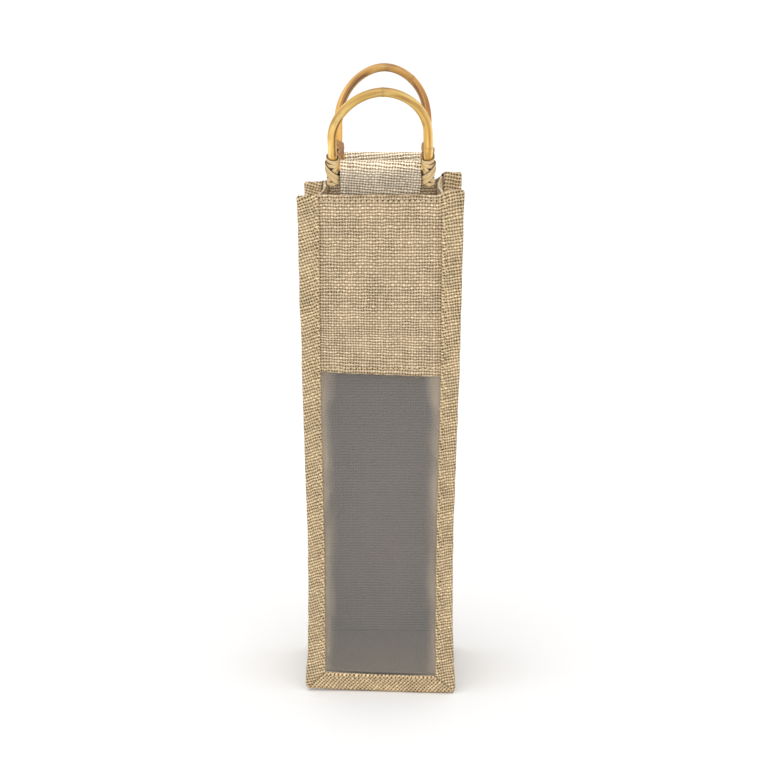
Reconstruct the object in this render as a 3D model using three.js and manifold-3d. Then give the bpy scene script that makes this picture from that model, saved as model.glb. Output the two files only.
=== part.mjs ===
// A jute gift bag for one wine bottle, with a clear window and two cane handles.
// Millimetres, +Z up. The bag's front faces -Y and its height runs along +Z.
//
// The bag is a box of woven jute. Its front and back are flat walls, wider than the box, and a
// gusset (two sides and a floor) is sewn between them. The margins that stand out past the gusset
// are fins, each wrapped in a folded binding strip. The bag stands on the folds of the two lowest
// fins, with its floor a little above the ground.

import * as THREE from "three";
import { mergeVertices } from "three/addons/utils/BufferGeometryUtils.js";
import Module from "manifold-3d";

// ---------------------------------------------------------------- driving dimensions

const BAG_HEIGHT = 350;
const BAG_DEPTH = 86; // over the faces of the front and back bindings
const PLY = 1.1; // one layer of jute
const FILM = 0.5; // the clear sheet
const GAP = 0.2; // between layers that touch in the sewn bag
const CLEARANCE = 0.3; // between pieces that fit into each other

// Half widths of the bag at heights above the ground: the filled bag is drawn in above its foot.
const FIN_EDGE = [
  [52.5, 4],
  [50.9, 28],
  [49.9, 85],
  [52.7, 215],
  [55.5, BAG_HEIGHT],
];
const GUSSET_FACE = [
  [38.6, 12.5],
  [38.6, 85],
  [40.4, 215],
  [41, BAG_HEIGHT],
];

const FLOOR_HEIGHT = 12.5; // underside of the floor
const FOOT_STRIP = 13.2; // height of the lowest binding strips
const FOOT_HALF = 48.5; // half length of the straight fold that the bag stands on
const CORNER = [51.3, 1.2]; // where the mitred seam meets the rounded lower corner
const PANEL_HALF = 47.5; // half width of the flat pieces whose edges the bindings hold
const WINDOW_TOP = 224; // lower edge of the upper panel
const WINDOW_OVERLAP = 12; // how far the clear sheet goes up behind the upper panel
const HEM = 20; // depth of the turned hem around the mouth
const HEM_HALF = 39.4;

const TAB_HALF = 26.6; // the tab fills the crossbar between the lashings
const TAB_THICKNESS = 2.6; // its two layers where they are sewn into the hem
const TAB_FOLD_HEIGHT = BAG_HEIGHT + 1.8;
const TAB_INSET = 1.5; // the fold line lies this far behind the bag's face

const CANE_RADIUS = 3;
const HANDLE_HALF = 31.3; // from the middle to each leg
const LEG_DROP = 13.5; // the legs run on below the crossbar
const LEG_RISE = 22; // straight part above the crossbar
const ARCH_RISE = 60.6; // centreline of the arch above the crossbar
const SHOULDER_HEIGHT = 46.5; // pulls each bend out over its leg
const CROWN_HALF = 14; // half width of the nearly flat crown

const LASHING_TOP = 10;
const LASHING_FOOT = 12.5;
const LASHING_RADIUS = 4.4;
const PIN_RADIUS = 0.6; // the nail that holds each crossbar end to its leg
const PIN_HOLE_RADIUS = 0.75;
const PIN_LENGTH = 13.8;
const PIN_HOLE_DEPTH = 9; // in the crossbar's end
const PIN_SIDES = 8;

// How far each end leans outward at rest, in degrees: the tab, and the handle as a whole.
// The tabs reach up to their crossbars by different lengths, and the rear crossbar is fixed lower
// on its legs than the front one, by the lift.
const ENDS = [
  { end: "front", turn: 0, tabLean: 6, handleLean: 33, tabReach: 17.5, lift: 0 },
  { end: "rear", turn: Math.PI, tabLean: 6, handleLean: 16, tabReach: 13, lift: 3.5 },
];

// ---------------------------------------------------------------- materials

const finish = (color, roughness, extra = {}) =>
  new THREE.MeshStandardMaterial({ color, roughness, metalness: 0, ...extra });

const JUTE = finish(0xc4ad88, 0.9);
const JUTE_BINDING = finish(0xbda47d, 0.9);
const CLEAR_FILM = finish(0xe8eaea, 0.12, { transparent: true, opacity: 0.25 });
const CANE = finish(0xdcbb70, 0.4);
const RATTAN = finish(0xd0b07e, 0.55);
const STEEL = finish(0x9a9a98, 0.35, { metalness: 1 });

// ---------------------------------------------------------------- helpers

const wasm = await Module();
wasm.setup();

const radians = THREE.MathUtils.degToRad;

function toSolid(geometry) {
  const bare = geometry.clone();
  bare.deleteAttribute("normal");
  bare.deleteAttribute("uv");
  const merged = mergeVertices(bare, 1e-4);
  return new wasm.Manifold(
    new wasm.Mesh({
      numProp: 3,
      vertProperties: merged.attributes.position.array,
      triVerts: new Uint32Array(merged.index.array),
    }),
  );
}

function toGeometry(solid) {
  const mesh = solid.getMesh();
  const geometry = new THREE.BufferGeometry();
  geometry.setAttribute("position", new THREE.BufferAttribute(mesh.vertProperties, 3));
  geometry.setIndex(new THREE.BufferAttribute(mesh.triVerts, 1));
  geometry.computeVertexNormals();
  return geometry;
}

const join = (geometries) => toGeometry(geometries.map(toSolid).reduce((a, b) => a.add(b)));
const cut = (body, tool) => toGeometry(toSolid(body).subtract(toSolid(tool)));

function addMesh(parent, name, geometry, material) {
  const mesh = new THREE.Mesh(geometry, material);
  mesh.name = name;
  parent.add(mesh);
  return mesh;
}

// A flat piece in the plane of the bag's face: its outline is in x and z, and it fills y0 to y1.
function slab(outline, y0, y1, curveSegments = 4) {
  const geometry = new THREE.ExtrudeGeometry(outline, {
    depth: y1 - y0,
    bevelEnabled: false,
    curveSegments,
  });
  geometry.rotateX(Math.PI / 2);
  geometry.translate(0, y1, 0);
  return geometry;
}

// A piece with one section in y and z all along x, from -half to half.
function beam(section, half, curveSegments = 10) {
  const geometry = new THREE.ExtrudeGeometry(section, {
    depth: 2 * half,
    bevelEnabled: false,
    curveSegments,
  });
  geometry.translate(0, 0, -half);
  const along = new THREE.Matrix4().makeBasis(
    new THREE.Vector3(0, 1, 0),
    new THREE.Vector3(0, 0, 1),
    new THREE.Vector3(1, 0, 0),
  );
  return geometry.applyMatrix4(along);
}

function rectangle(a0, a1, b0, b1) {
  return new THREE.Shape([
    new THREE.Vector2(a0, b0),
    new THREE.Vector2(a1, b0),
    new THREE.Vector2(a1, b1),
    new THREE.Vector2(a0, b1),
  ]);
}

// The band between two edge curves on one side of the bag. Each edge is a list of [x, z] stations
// from the bottom up. The lower end closes through any corner points given.
function band(inner, outer, side, corners = []) {
  const at = ([x, z]) => new THREE.Vector2(side * x, z);
  const shape = new THREE.Shape();
  shape.moveTo(...at(outer[0]).toArray());
  shape.splineThru(outer.slice(1).map(at));
  const down = inner.slice().reverse();
  shape.lineTo(...at(down[0]).toArray());
  shape.splineThru(down.slice(1).map(at));
  corners.forEach((corner) => shape.lineTo(...at(corner).toArray()));
  shape.closePath();
  return shape;
}

const shifted = (stations, dx) => stations.map(([x, z]) => [x + dx, z]);

// ---------------------------------------------------------------- bag walls

// The layers of a face, from the outside in: [start, end] in distance from the bag's face.
const OUTER_PLY = [0, PLY];
const PANEL_LAYER = [PLY + GAP, 2 * PLY + GAP];
const FILM_LAYER = [2 * PLY + 2 * GAP, 2 * PLY + 2 * GAP + FILM];
const INNER_PLY = [FILM_LAYER[1] + GAP, FILM_LAYER[1] + GAP + PLY];
const HEM_END = FILM_LAYER[0] + PLY;
const GUSSET_HALF_DEPTH = BAG_DEPTH / 2 - HEM_END - GAP;

// Distances from the face become a y range at the front (facing -1) or back (facing 1).
function layer([from, to], facing) {
  const a = facing * (BAG_DEPTH / 2 - from);
  const b = facing * (BAG_DEPTH / 2 - to);
  return [Math.min(a, b), Math.max(a, b)];
}

// A wall of one layer with its top edge turned in as a hem.
function hemmedWall(bottom, facing) {
  const [y0, y1] = layer(PANEL_LAYER, facing);
  const [h0, h1] = layer([PANEL_LAYER[1], HEM_END], facing);
  const outline = rectangle(-PANEL_HALF, PANEL_HALF, bottom, BAG_HEIGHT);
  const hem = rectangle(-HEM_HALF, HEM_HALF, BAG_HEIGHT - HEM, BAG_HEIGHT);
  return join([slab(outline, y0, y1), slab(hem, h0, h1)]);
}

function buildWalls(bag) {
  const aboveFold = PLY + GAP;
  addMesh(bag, "front_upper_panel", hemmedWall(WINDOW_TOP, -1), JUTE);
  addMesh(bag, "back_panel", hemmedWall(aboveFold, 1), JUTE);
  const film = rectangle(-PANEL_HALF, PANEL_HALF, aboveFold, WINDOW_TOP + WINDOW_OVERLAP);
  addMesh(bag, "window_sheet", slab(film, ...layer(FILM_LAYER, -1)), CLEAR_FILM);
}

// ---------------------------------------------------------------- gusset

function buildGusset(bag) {
  const y = GUSSET_HALF_DEPTH;
  for (const [name, side] of [["left", -1], ["right", 1]]) {
    const web = band(GUSSET_FACE, shifted(GUSSET_FACE, PLY), side);
    const mouth = GUSSET_FACE.at(-1)[0];
    const turned = [
      [mouth - PLY, BAG_HEIGHT - HEM],
      [mouth - PLY, BAG_HEIGHT],
    ];
    const hem = band(turned, shifted(turned, PLY + 0.5), side);
    addMesh(bag, `${name}_gusset`, join([slab(web, -y, y), slab(hem, -y, y)]), JUTE);
  }
  const half = GUSSET_FACE[0][0] - CLEARANCE;
  const floor = rectangle(-half, half, FLOOR_HEIGHT, FLOOR_HEIGHT + PLY);
  addMesh(bag, "bottom_gusset", slab(floor, -y, y), JUTE);
}

// ---------------------------------------------------------------- bindings

// A strip folded round a fin: an outer and an inner layer, joined by the fold at the fin's edge.
function foldedStrip(outer, inner, fold, facing) {
  return join([
    slab(outer, ...layer(OUTER_PLY, facing)),
    slab(inner, ...layer(INNER_PLY, facing)),
    slab(fold, ...layer([0, INNER_PLY[1]], facing)),
  ]);
}

function sideBinding(side, facing) {
  const mitre = [CORNER[0], CORNER[1] + CLEARANCE];
  const seam = shifted(GUSSET_FACE, -CLEARANCE);
  seam[0][1] = FOOT_STRIP + CLEARANCE;
  const behind = shifted(GUSSET_FACE, PLY + CLEARANCE);
  behind[0][1] = FOOT_STRIP + CLEARANCE;
  return foldedStrip(
    band(seam, FIN_EDGE, side, [mitre]),
    band(behind, FIN_EDGE, side, [mitre]),
    band(shifted(FIN_EDGE, -PLY), FIN_EDGE, side),
    facing,
  );
}

// A mitred strip along the foot, whose upper edge is at the given height and half length.
function footOutline(upperHalf, height) {
  const right = [
    [FOOT_HALF, 0],
    [CORNER[0] - CLEARANCE, CORNER[1]],
    [upperHalf, height],
  ];
  const left = right.map(([x, z]) => [-x, z]).reverse();
  return new THREE.Shape([...right, ...left].map(([x, z]) => new THREE.Vector2(x, z)));
}

function footBinding(facing) {
  const upperHalf = GUSSET_FACE[0][0] - 2 * CLEARANCE;
  return foldedStrip(
    footOutline(upperHalf, FOOT_STRIP),
    footOutline(upperHalf + PLY, FLOOR_HEIGHT - CLEARANCE),
    rectangle(-FOOT_HALF, FOOT_HALF, 0, PLY),
    facing,
  );
}

function buildBindings(bag) {
  for (const [face, facing] of [["front", -1], ["back", 1]]) {
    addMesh(bag, `${face}_left_binding`, sideBinding(-1, facing), JUTE_BINDING);
    addMesh(bag, `${face}_right_binding`, sideBinding(1, facing), JUTE_BINDING);
    addMesh(bag, `${face}_bottom_binding`, footBinding(facing), JUTE_BINDING);
  }
}

// ---------------------------------------------------------------- tabs and handles

// The tab's section, with its fold line at the origin: two layers that part round the crossbar.
function tabSection(tabReach) {
  const hole = CANE_RADIUS + CLEARANCE;
  const radius = hole + PLY;
  const foot = TAB_THICKNESS / 2;
  const reach = Math.hypot(foot, tabReach);
  const start = Math.atan2(-tabReach, foot) + Math.acos(radius / reach);
  const shape = new THREE.Shape();
  shape.moveTo(-foot, 0);
  shape.lineTo(foot, 0);
  shape.absarc(0, tabReach, radius, start, Math.PI - start, false);
  shape.closePath();
  shape.holes.push(new THREE.Path().absarc(0, tabReach, hole, 0, 2 * Math.PI, true));
  return shape;
}

// A round rod along x.
function rod(radius, x0, x1, segments = 16) {
  const geometry = new THREE.CylinderGeometry(radius, radius, Math.abs(x1 - x0), segments);
  geometry.rotateZ(Math.PI / 2);
  return geometry.translate((x0 + x1) / 2, 0, 0);
}

// The bent cane: two straight legs and an arch that is slightly pointed at its crown.
function archGeometry(lift) {
  const at = (x, z) => new THREE.Vector3(x, 0, z + lift);
  const path = new THREE.CurvePath();
  path.add(new THREE.LineCurve3(at(-HANDLE_HALF, -LEG_DROP), at(-HANDLE_HALF, LEG_RISE)));
  path.add(new THREE.CubicBezierCurve3(
    at(-HANDLE_HALF, LEG_RISE),
    at(-HANDLE_HALF, SHOULDER_HEIGHT),
    at(-CROWN_HALF, ARCH_RISE),
    at(0, ARCH_RISE),
  ));
  path.add(new THREE.CubicBezierCurve3(
    at(0, ARCH_RISE),
    at(CROWN_HALF, ARCH_RISE),
    at(HANDLE_HALF, SHOULDER_HEIGHT),
    at(HANDLE_HALF, LEG_RISE),
  ));
  path.add(new THREE.LineCurve3(at(HANDLE_HALF, LEG_RISE), at(HANDLE_HALF, -LEG_DROP)));
  const section = new THREE.Shape().absarc(0, 0, CANE_RADIUS, 0, 2 * Math.PI, false);
  const cane = new THREE.ExtrudeGeometry(section, {
    steps: 44,
    curveSegments: 6,
    extrudePath: path,
  });
  const reach = HANDLE_HALF + 2 * CANE_RADIUS;
  const drill = rod(PIN_HOLE_RADIUS, -reach, reach, PIN_SIDES);
  return cut(cane, drill);
}

// Strips of rattan wound round the leg and the crossbar's end, as one sleeve with a hole for it.
function lashingGeometry(side, lift) {
  const hole = CANE_RADIUS + CLEARANCE;
  const profile = [
    [hole, -LASHING_FOOT],
    [LASHING_RADIUS - 0.4, -LASHING_FOOT],
    [LASHING_RADIUS, -LASHING_FOOT + 2],
    [LASHING_RADIUS, LASHING_TOP - 2],
    [LASHING_RADIUS - 0.4, LASHING_TOP],
    [hole, LASHING_TOP],
    [hole, -LASHING_FOOT],
  ].map(([r, z]) => new THREE.Vector2(r, z));
  const sleeve = new THREE.LatheGeometry(profile, 20);
  sleeve.rotateX(Math.PI / 2);
  sleeve.translate(side * HANDLE_HALF, 0, lift);
  return cut(sleeve, rod(hole, side * (HANDLE_HALF - 2 * CANE_RADIUS), side * HANDLE_HALF));
}

function crossbarGeometry() {
  const half = HANDLE_HALF - CANE_RADIUS - CLEARANCE;
  const drill = (side) =>
    rod(PIN_HOLE_RADIUS, side * (half - PIN_HOLE_DEPTH), side * (half + 1), PIN_SIDES);
  return cut(cut(rod(CANE_RADIUS, -half, half), drill(-1)), drill(1));
}

function buildEnd(bag, { end, turn, tabLean, handleLean, tabReach, lift }) {
  const facing = new THREE.Group();
  facing.rotation.z = turn;
  bag.add(facing);

  const tab = new THREE.Group();
  tab.position.set(0, TAB_INSET - BAG_DEPTH / 2, TAB_FOLD_HEIGHT);
  tab.rotation.x = radians(tabLean);
  facing.add(tab);
  addMesh(tab, `${end}_tab`, beam(tabSection(tabReach), TAB_HALF), JUTE);

  const handle = new THREE.Group();
  handle.position.z = tabReach;
  handle.rotation.x = radians(handleLean - tabLean);
  tab.add(handle);
  addMesh(handle, `${end}_handle_arch`, archGeometry(lift), CANE);
  addMesh(handle, `${end}_crossbar`, crossbarGeometry(), CANE);
  for (const side of [-1, 1]) {
    const name = side * Math.cos(turn) < 0 ? "left" : "right";
    const outside = side * (HANDLE_HALF + CANE_RADIUS - GAP);
    const inside = outside - side * PIN_LENGTH;
    addMesh(handle, `${end}_${name}_lashing`, lashingGeometry(side, lift), RATTAN);
    addMesh(handle, `${end}_${name}_pin`, rod(PIN_RADIUS, outside, inside, PIN_SIDES), STEEL);
  }
}

// ---------------------------------------------------------------- assembly

const group = new THREE.Group();
buildWalls(group);
buildGusset(group);
buildBindings(group);
ENDS.forEach((end) => buildEnd(group, end));

// The origin is under the middle of the whole object, handles and all, on the ground.
const middle = new THREE.Box3().setFromObject(group, true).getCenter(new THREE.Vector3());
group.position.y = -middle.y;

export default group;
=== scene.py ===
"""The looks of a jute wine bag with a clear window and two cane handles.

The CAD frame gives every place and size. This script sews the cloth, bends the canes and winds the
rattan round that frame. Lengths are in millimetres until a mesh is made, when they turn to metres.
"""

import logging
import math
from collections.abc import Callable, Sequence
from dataclasses import dataclass, field
from enum import Enum

import bpy
import numpy as np
from bpy.types import Material, Node, NodeSocket, NodeTree, Object
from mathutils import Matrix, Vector, noise


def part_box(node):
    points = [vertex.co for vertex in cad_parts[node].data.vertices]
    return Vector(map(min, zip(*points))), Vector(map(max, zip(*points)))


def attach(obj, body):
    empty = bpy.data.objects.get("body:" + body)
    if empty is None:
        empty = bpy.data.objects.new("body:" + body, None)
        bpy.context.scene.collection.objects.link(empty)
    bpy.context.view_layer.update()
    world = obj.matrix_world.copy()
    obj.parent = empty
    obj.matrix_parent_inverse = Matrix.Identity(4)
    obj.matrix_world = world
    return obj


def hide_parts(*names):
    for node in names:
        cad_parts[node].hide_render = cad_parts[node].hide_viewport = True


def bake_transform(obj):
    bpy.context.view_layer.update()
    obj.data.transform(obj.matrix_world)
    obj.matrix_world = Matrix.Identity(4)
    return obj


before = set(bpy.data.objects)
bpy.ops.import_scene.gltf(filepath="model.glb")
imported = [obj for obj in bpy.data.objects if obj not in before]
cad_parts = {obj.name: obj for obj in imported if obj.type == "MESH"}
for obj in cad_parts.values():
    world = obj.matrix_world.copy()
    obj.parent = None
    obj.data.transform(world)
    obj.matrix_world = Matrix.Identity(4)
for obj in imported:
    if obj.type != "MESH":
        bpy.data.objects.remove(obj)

log = logging.getLogger("wine_bag")

MM = 0.001
PLY = 1.1  # one layer of jute
FILM = 0.35
WARP_PITCH = 1.83  # from one upright jute yarn to the next
WEFT_PITCH = 2.05  # from one crosswise yarn to the next
CLOTH_UV = "cloth"  # place on the cloth, in metres along its yarns
GRAIN_UV = "grain"  # place on a cane or strip, in metres round it and along it


class Named(Enum):
    """A choice whose name begins the names of its pieces."""

    @property
    def label(self) -> str:
        """The word used in the names of pieces."""
        return self.name.lower()


class Side(Named):
    """Left or right as seen from the front, as the sign of x."""

    LEFT = -1
    RIGHT = 1


class Face(Named):
    """The bag's two faces, as the sign of the outward y."""

    FRONT = -1
    BACK = 1


class End(Named):
    """The two handles, as the sign of the outward y."""

    FRONT = -1
    REAR = 1


# ------------------------------------------------------------------------------------------- nodes


def add(tree: NodeTree, kind: str, inputs: dict | None = None, stops=(), **settings):
    """Adds one node with its settings, its values and its links.

    Args:
        tree: the tree that gets the node.
        kind: the node's type name, where ShaderNode may be left out.
        inputs: values by socket name or number. A node stands for its first output.
        stops: place and sRGB hex of each stop, on a colour ramp.
        settings: the node's own properties.

    Returns:
        The new node.
    """
    node = tree.nodes.new(kind if "Node" in kind else "ShaderNode" + kind)
    for key, value in settings.items():
        setattr(node, key, value)
    fill(tree, node, inputs or {})
    if stops:
        ramp = node.color_ramp
        while len(ramp.elements) < len(stops):
            ramp.elements.new(1.0)
        for element, (place, colour) in zip(ramp.elements, stops):
            element.position = place
            element.color = linear(colour)
    return node


def fill(tree: NodeTree, node: Node, inputs: dict) -> None:
    """Sets a node's inputs on their own sockets, or links them, as in add."""
    for key, value in inputs.items():
        if isinstance(value, Node):
            value = value.outputs[0]
        if isinstance(value, NodeSocket):
            tree.links.new(value, node.inputs[key])
        else:
            node.inputs[key].default_value = value


def linear(colour: str) -> tuple[float, float, float, float]:
    """Turns an sRGB hex colour such as c4ad88 to linear red, green, blue and alpha."""
    parts = [int(colour[i : i + 2], 16) / 255 for i in (0, 2, 4)]
    return (*(c / 12.92 if c <= 0.04045 else ((c + 0.055) / 1.055) ** 2.4 for c in parts), 1.0)


def new_material(name: str) -> tuple[Material, NodeTree, Node]:
    """Makes a material whose tree holds one Principled shader joined to its output."""
    material = bpy.data.materials.new(name)
    material.use_nodes = True
    tree = material.node_tree
    tree.nodes.clear()
    shader = add(tree, "BsdfPrincipled")
    add(tree, "OutputMaterial", {"Surface": shader})
    return material, tree, shader


def new_group(name: str, family: str, inputs: dict, outputs: dict) -> tuple[NodeTree, Node]:
    """Makes an empty group of nodes.

    Args:
        name: the group's name.
        family: Shader or Geometry.
        inputs: the kind of each named input.
        outputs: the kind of each named output.

    Returns:
        The group, and the node that gives its inputs.
    """
    group = bpy.data.node_groups.new(name, family + "NodeTree")
    if family == "Geometry":
        group.is_modifier = True
    for way, sockets in (("INPUT", inputs), ("OUTPUT", outputs)):
        for title, kind in sockets.items():
            group.interface.new_socket(title, in_out=way, socket_type="NodeSocket" + kind)
    return group, add(group, "NodeGroupInput")


def count_yarns(tree: NodeTree, place: Node, skew: float) -> Node:
    """Turns a place on the cloth to a place counted in yarns.

    Args:
        tree: the material's tree.
        place: the place on the cloth, in metres.
        skew: how far the yarns are turned on the piece, in degrees.
    """
    turn = {"Vector": place, "Rotation": (0.0, 0.0, math.radians(skew))}
    turned = add(tree, "Mapping", turn)
    per_metre = (1 / (WARP_PITCH * MM), 1 / (WEFT_PITCH * MM), 0.0)
    return add(tree, "VectorMath", {0: turned, 1: per_metre}, operation="MULTIPLY")


def weave_group() -> NodeTree:
    """Makes the plain weave that every jute finish shares.

    Place is counted in yarns. Each yarn is a rounded ridge that goes over and under its neighbours,
    wanders a little, and is a little wider or narrower than the next.

    Returns:
        A group with outputs Height (0 in a hole, about 1 on a crown), Tint and Fibre, 0 to 1 each.
    """
    group, given = new_group(
        "plain weave", "Shader", {"Place": "Vector", "Half width": "Float"},
        {"Height": "Float", "Tint": "Float", "Fibre": "Float"},
    )
    wander = add(group, "TexNoise", {"Vector": given, "Scale": 0.33, "Detail": 2.0})
    # Some patches are woven closer than others.
    patch = add(group, "TexNoise", {"Vector": given, "Scale": 0.11, "Detail": 1.0})
    close = add(
        group, "MapRange",
        {"Value": patch, "From Min": 0.35, "From Max": 0.65, "To Min": 0.93, "To Max": 1.08},
    )
    half = add(group, "Math", {0: given.outputs["Half width"], 1: close}, operation="MULTIPLY")
    centred = add(
        group, "VectorMath", {0: wander.outputs["Color"], 1: (0.5, 0.5, 0.5)}, operation="SUBTRACT",
    )
    swayed = add(
        group, "VectorMath", {0: centred, 1: (0.85, 0.85, 0.0), 2: given.outputs["Place"]},
        operation="MULTIPLY_ADD",
    )
    axes = add(group, "SeparateXYZ", {0: swayed})
    crests, waves, tints = [], [], []
    for axis, seed, fullness in (("X", 17.0, 1.07), ("Y", 91.0, 0.95)):
        along = axes.outputs[axis]
        count = add(group, "Math", {0: along}, operation="FLOOR")
        seeded = add(group, "Math", {0: count, 1: seed}, operation="ADD")
        chance = add(group, "TexWhiteNoise", {"W": seeded}, noise_dimensions="1D")
        spread = add(
            group, "MapRange", {"Value": chance, "To Min": fullness - 0.10, "To Max": fullness + 0.08},
        )
        width = add(group, "Math", {0: spread, 1: half}, operation="MULTIPLY")
        part = add(group, "Math", {0: along}, operation="FRACT")
        off = add(group, "Math", {0: part, 1: 0.5}, operation="SUBTRACT")
        share = add(group, "Math", {0: off, 1: width}, operation="DIVIDE")
        square = add(group, "Math", {0: share, 1: share}, operation="MULTIPLY")
        left = add(group, "Math", {0: 1.0, 1: square}, operation="SUBTRACT", use_clamp=True)
        crests.append(add(group, "Math", {0: left}, operation="SQRT"))
        turn = add(group, "Math", {0: along, 1: math.pi}, operation="MULTIPLY")
        waves.append(add(group, "Math", {0: turn}, operation="SINE"))
        tints.append(chance.outputs["Value"])
    over = add(group, "Math", {0: waves[0], 1: waves[1]}, operation="MULTIPLY")
    heights = []
    # The crosswise yarns are thicker and stand higher, so they show as rows.
    for crest, swing, level in zip(crests, (-0.27, 0.20), (0.63, 0.82)):
        rise = add(group, "Math", {0: over, 1: swing, 2: level}, operation="MULTIPLY_ADD")
        heights.append(add(group, "Math", {0: crest, 1: rise}, operation="MULTIPLY"))
    top = add(group, "Math", {0: heights[0], 1: heights[1]}, operation="MAXIMUM")
    weft_up = add(group, "Math", {0: heights[1], 1: heights[0]}, operation="GREATER_THAN")
    tint = add(group, "Mix", {0: weft_up, 2: tints[0], 3: tints[1]}, data_type="FLOAT")
    cell = add(group, "VectorMath", {0: swayed}, operation="FLOOR")
    knot = add(group, "TexWhiteNoise", {"Vector": cell}, noise_dimensions="3D")
    tint = add(group, "Mix", {0: 0.62, 2: tint, 3: knot}, data_type="FLOAT")
    fibres = []
    for stretch in ((7.0, 0.8, 1.0), (0.8, 7.0, 1.0)):
        scaled = add(group, "VectorMath", {0: swayed, 1: stretch}, operation="MULTIPLY")
        fibres.append(add(group, "TexNoise", {"Vector": scaled, "Scale": 1.0}))
    fibre = add(group, "Mix", {0: weft_up, 2: fibres[0], 3: fibres[1]}, data_type="FLOAT")
    add(group, "NodeGroupOutput", {"Height": top, "Tint": tint, "Fibre": fibre})
    return group


# ---------------------------------------------------------------------------------------- finishes


@dataclass(frozen=True)
class Rubbed:
    """A fold painted lighter, as a painted highlight where the light catches it, with painted shade away
    from it when beyond is below 1.

    Args:
        axis: the way across the fold, X or Y on the cloth.
        at: the fold's place on that axis, in millimetres.
        reach: how far the pale part fades out.
        gain: brightness on the fold.
        beyond: brightness away from it.
    """

    axis: str
    at: float
    reach: float
    gain: float
    beyond: float = 1.0


@dataclass(frozen=True)
class Jute:
    """Plain-woven natural jute: pale hairy yarns, with painted shade in the small gaps and dips between
    them.

    Args:
        name: the material's name.
        crown: the lit tops of the yarns.
        body: the yarns' own colour.
        valley_shade: painted shade where yarns dip under each other.
        gap: painted dark shade in the holes between the yarns.
        skew: how far the yarns are turned on the piece, in degrees.
        half_width: half a yarn's width as a share of the pitch.
        relief: how strongly the yarns stand out, 0 to 1.
        rubbed: its fold with a painted highlight, if it has one.
    """

    name: str
    crown: str = "ead9bc"
    body: str = "bda686"
    valley_shade: str = "a28967"
    gap: str = "2e1d0d"
    skew: float = 0.0
    half_width: float = 0.385
    relief: float = 0.75
    rubbed: Rubbed | None = None

    def build(self, weave: NodeTree) -> Material:
        """Makes the material on the shared weave."""
        material, tree, shader = new_material(self.name)
        place = add(tree, "UVMap", uv_map=CLOTH_UV)
        counted = count_yarns(tree, place, self.skew)
        woven = add(tree, "Group", {"Place": counted, "Half width": self.half_width}, node_tree=weave)
        # The ramp paints shade into the holes and dips between the yarns, and a highlight on their crowns.
        tone = add(
            tree, "ValToRGB", {0: woven.outputs["Height"]},
            stops=((0.12, self.gap), (0.48, self.valley_shade), (0.72, self.body), (0.97, self.crown)),
        )
        # Single yarns are lighter or darker, their fibres streak, and the cloth has faint clouds.
        yarn = add(tree, "MapRange", {"Value": woven.outputs["Tint"], "To Min": 0.78, "To Max": 1.20})
        streak = add(
            tree,
            "MapRange",
            {"Value": woven.outputs["Fibre"], "From Min": 0.3, "From Max": 0.7,
             "To Min": 0.88, "To Max": 1.10},
        )
        cloud = add(tree, "TexNoise", {"Vector": counted, "Scale": 0.09, "Detail": 3.0})
        wide = add(
            tree, "MapRange",
            {"Value": cloud, "From Min": 0.3, "From Max": 0.7, "To Min": 0.93, "To Max": 1.06},
        )
        both = add(tree, "Math", {0: yarn, 1: streak}, operation="MULTIPLY")
        shade = add(tree, "Math", {0: both, 1: wide}, operation="MULTIPLY")
        # Painted highlight along the fold, with painted shade away from it where beyond is below 1.
        if self.rubbed:
            shade = self.rub(tree, place, shade)
        colour = add(tree, "VectorMath", {0: tone, "Scale": shade}, operation="SCALE")
        fuzz = add(
            tree, "Math", {0: woven.outputs["Fibre"], 1: 0.35, 2: woven.outputs["Height"]},
            operation="MULTIPLY_ADD",
        )
        bump = add(tree, "Bump", {"Height": fuzz, "Strength": self.relief, "Distance": 0.45 * MM})
        fill(
            tree, shader,
            {"Roughness": 0.88, "Specular IOR Level": 0.25, "Base Color": colour, "Normal": bump},
        )
        return material

    def rub(self, tree: NodeTree, place: Node, shade: Node) -> Node:
        """Paints a highlight along the fold, and shade away from it where beyond is below 1.

        Args:
            tree: the material's tree.
            place: the place on the cloth.
            shade: the brightness so far.

        Returns:
            The new brightness.
        """
        painted_fold = self.rubbed
        axes = add(tree, "SeparateXYZ", {0: place})
        along = {0: axes.outputs[painted_fold.axis], 1: painted_fold.at * MM}
        off = add(tree, "Math", along, operation="SUBTRACT")
        far = add(tree, "Math", {0: off}, operation="ABSOLUTE")
        gain = add(
            tree, "MapRange",
            {"Value": far, "From Max": painted_fold.reach * MM, "To Min": painted_fold.gain, "To Max": painted_fold.beyond},
            interpolation_type="SMOOTHSTEP",
        )
        return add(tree, "Math", {0: shade, 1: gain}, operation="MULTIPLY")


@dataclass(frozen=True)
class Lining:
    """The film laminated to the inside of the jute: smooth, pale, with the weave faint in it."""

    name: str = "laminated_jute_inside"
    high: str = "c9b18f"
    low: str = "937955"

    def build(self, weave: NodeTree) -> Material:
        """Makes the material on the shared weave."""
        material, tree, shader = new_material(self.name)
        place = add(tree, "UVMap", uv_map=CLOTH_UV)
        counted = count_yarns(tree, place, 0.0)
        woven = add(tree, "Group", {"Place": counted, "Half width": 0.47}, node_tree=weave)
        tone = add(
            tree, "ValToRGB", {0: woven.outputs["Height"]}, stops=((0.15, self.low), (0.75, self.high)),
        )
        bump = add(
            tree, "Bump", {"Height": woven.outputs["Height"], "Strength": 0.35, "Distance": 0.25 * MM},
        )
        fill(tree, shader, {"Roughness": 0.5, "Base Color": tone, "Normal": bump})
        return material


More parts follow.
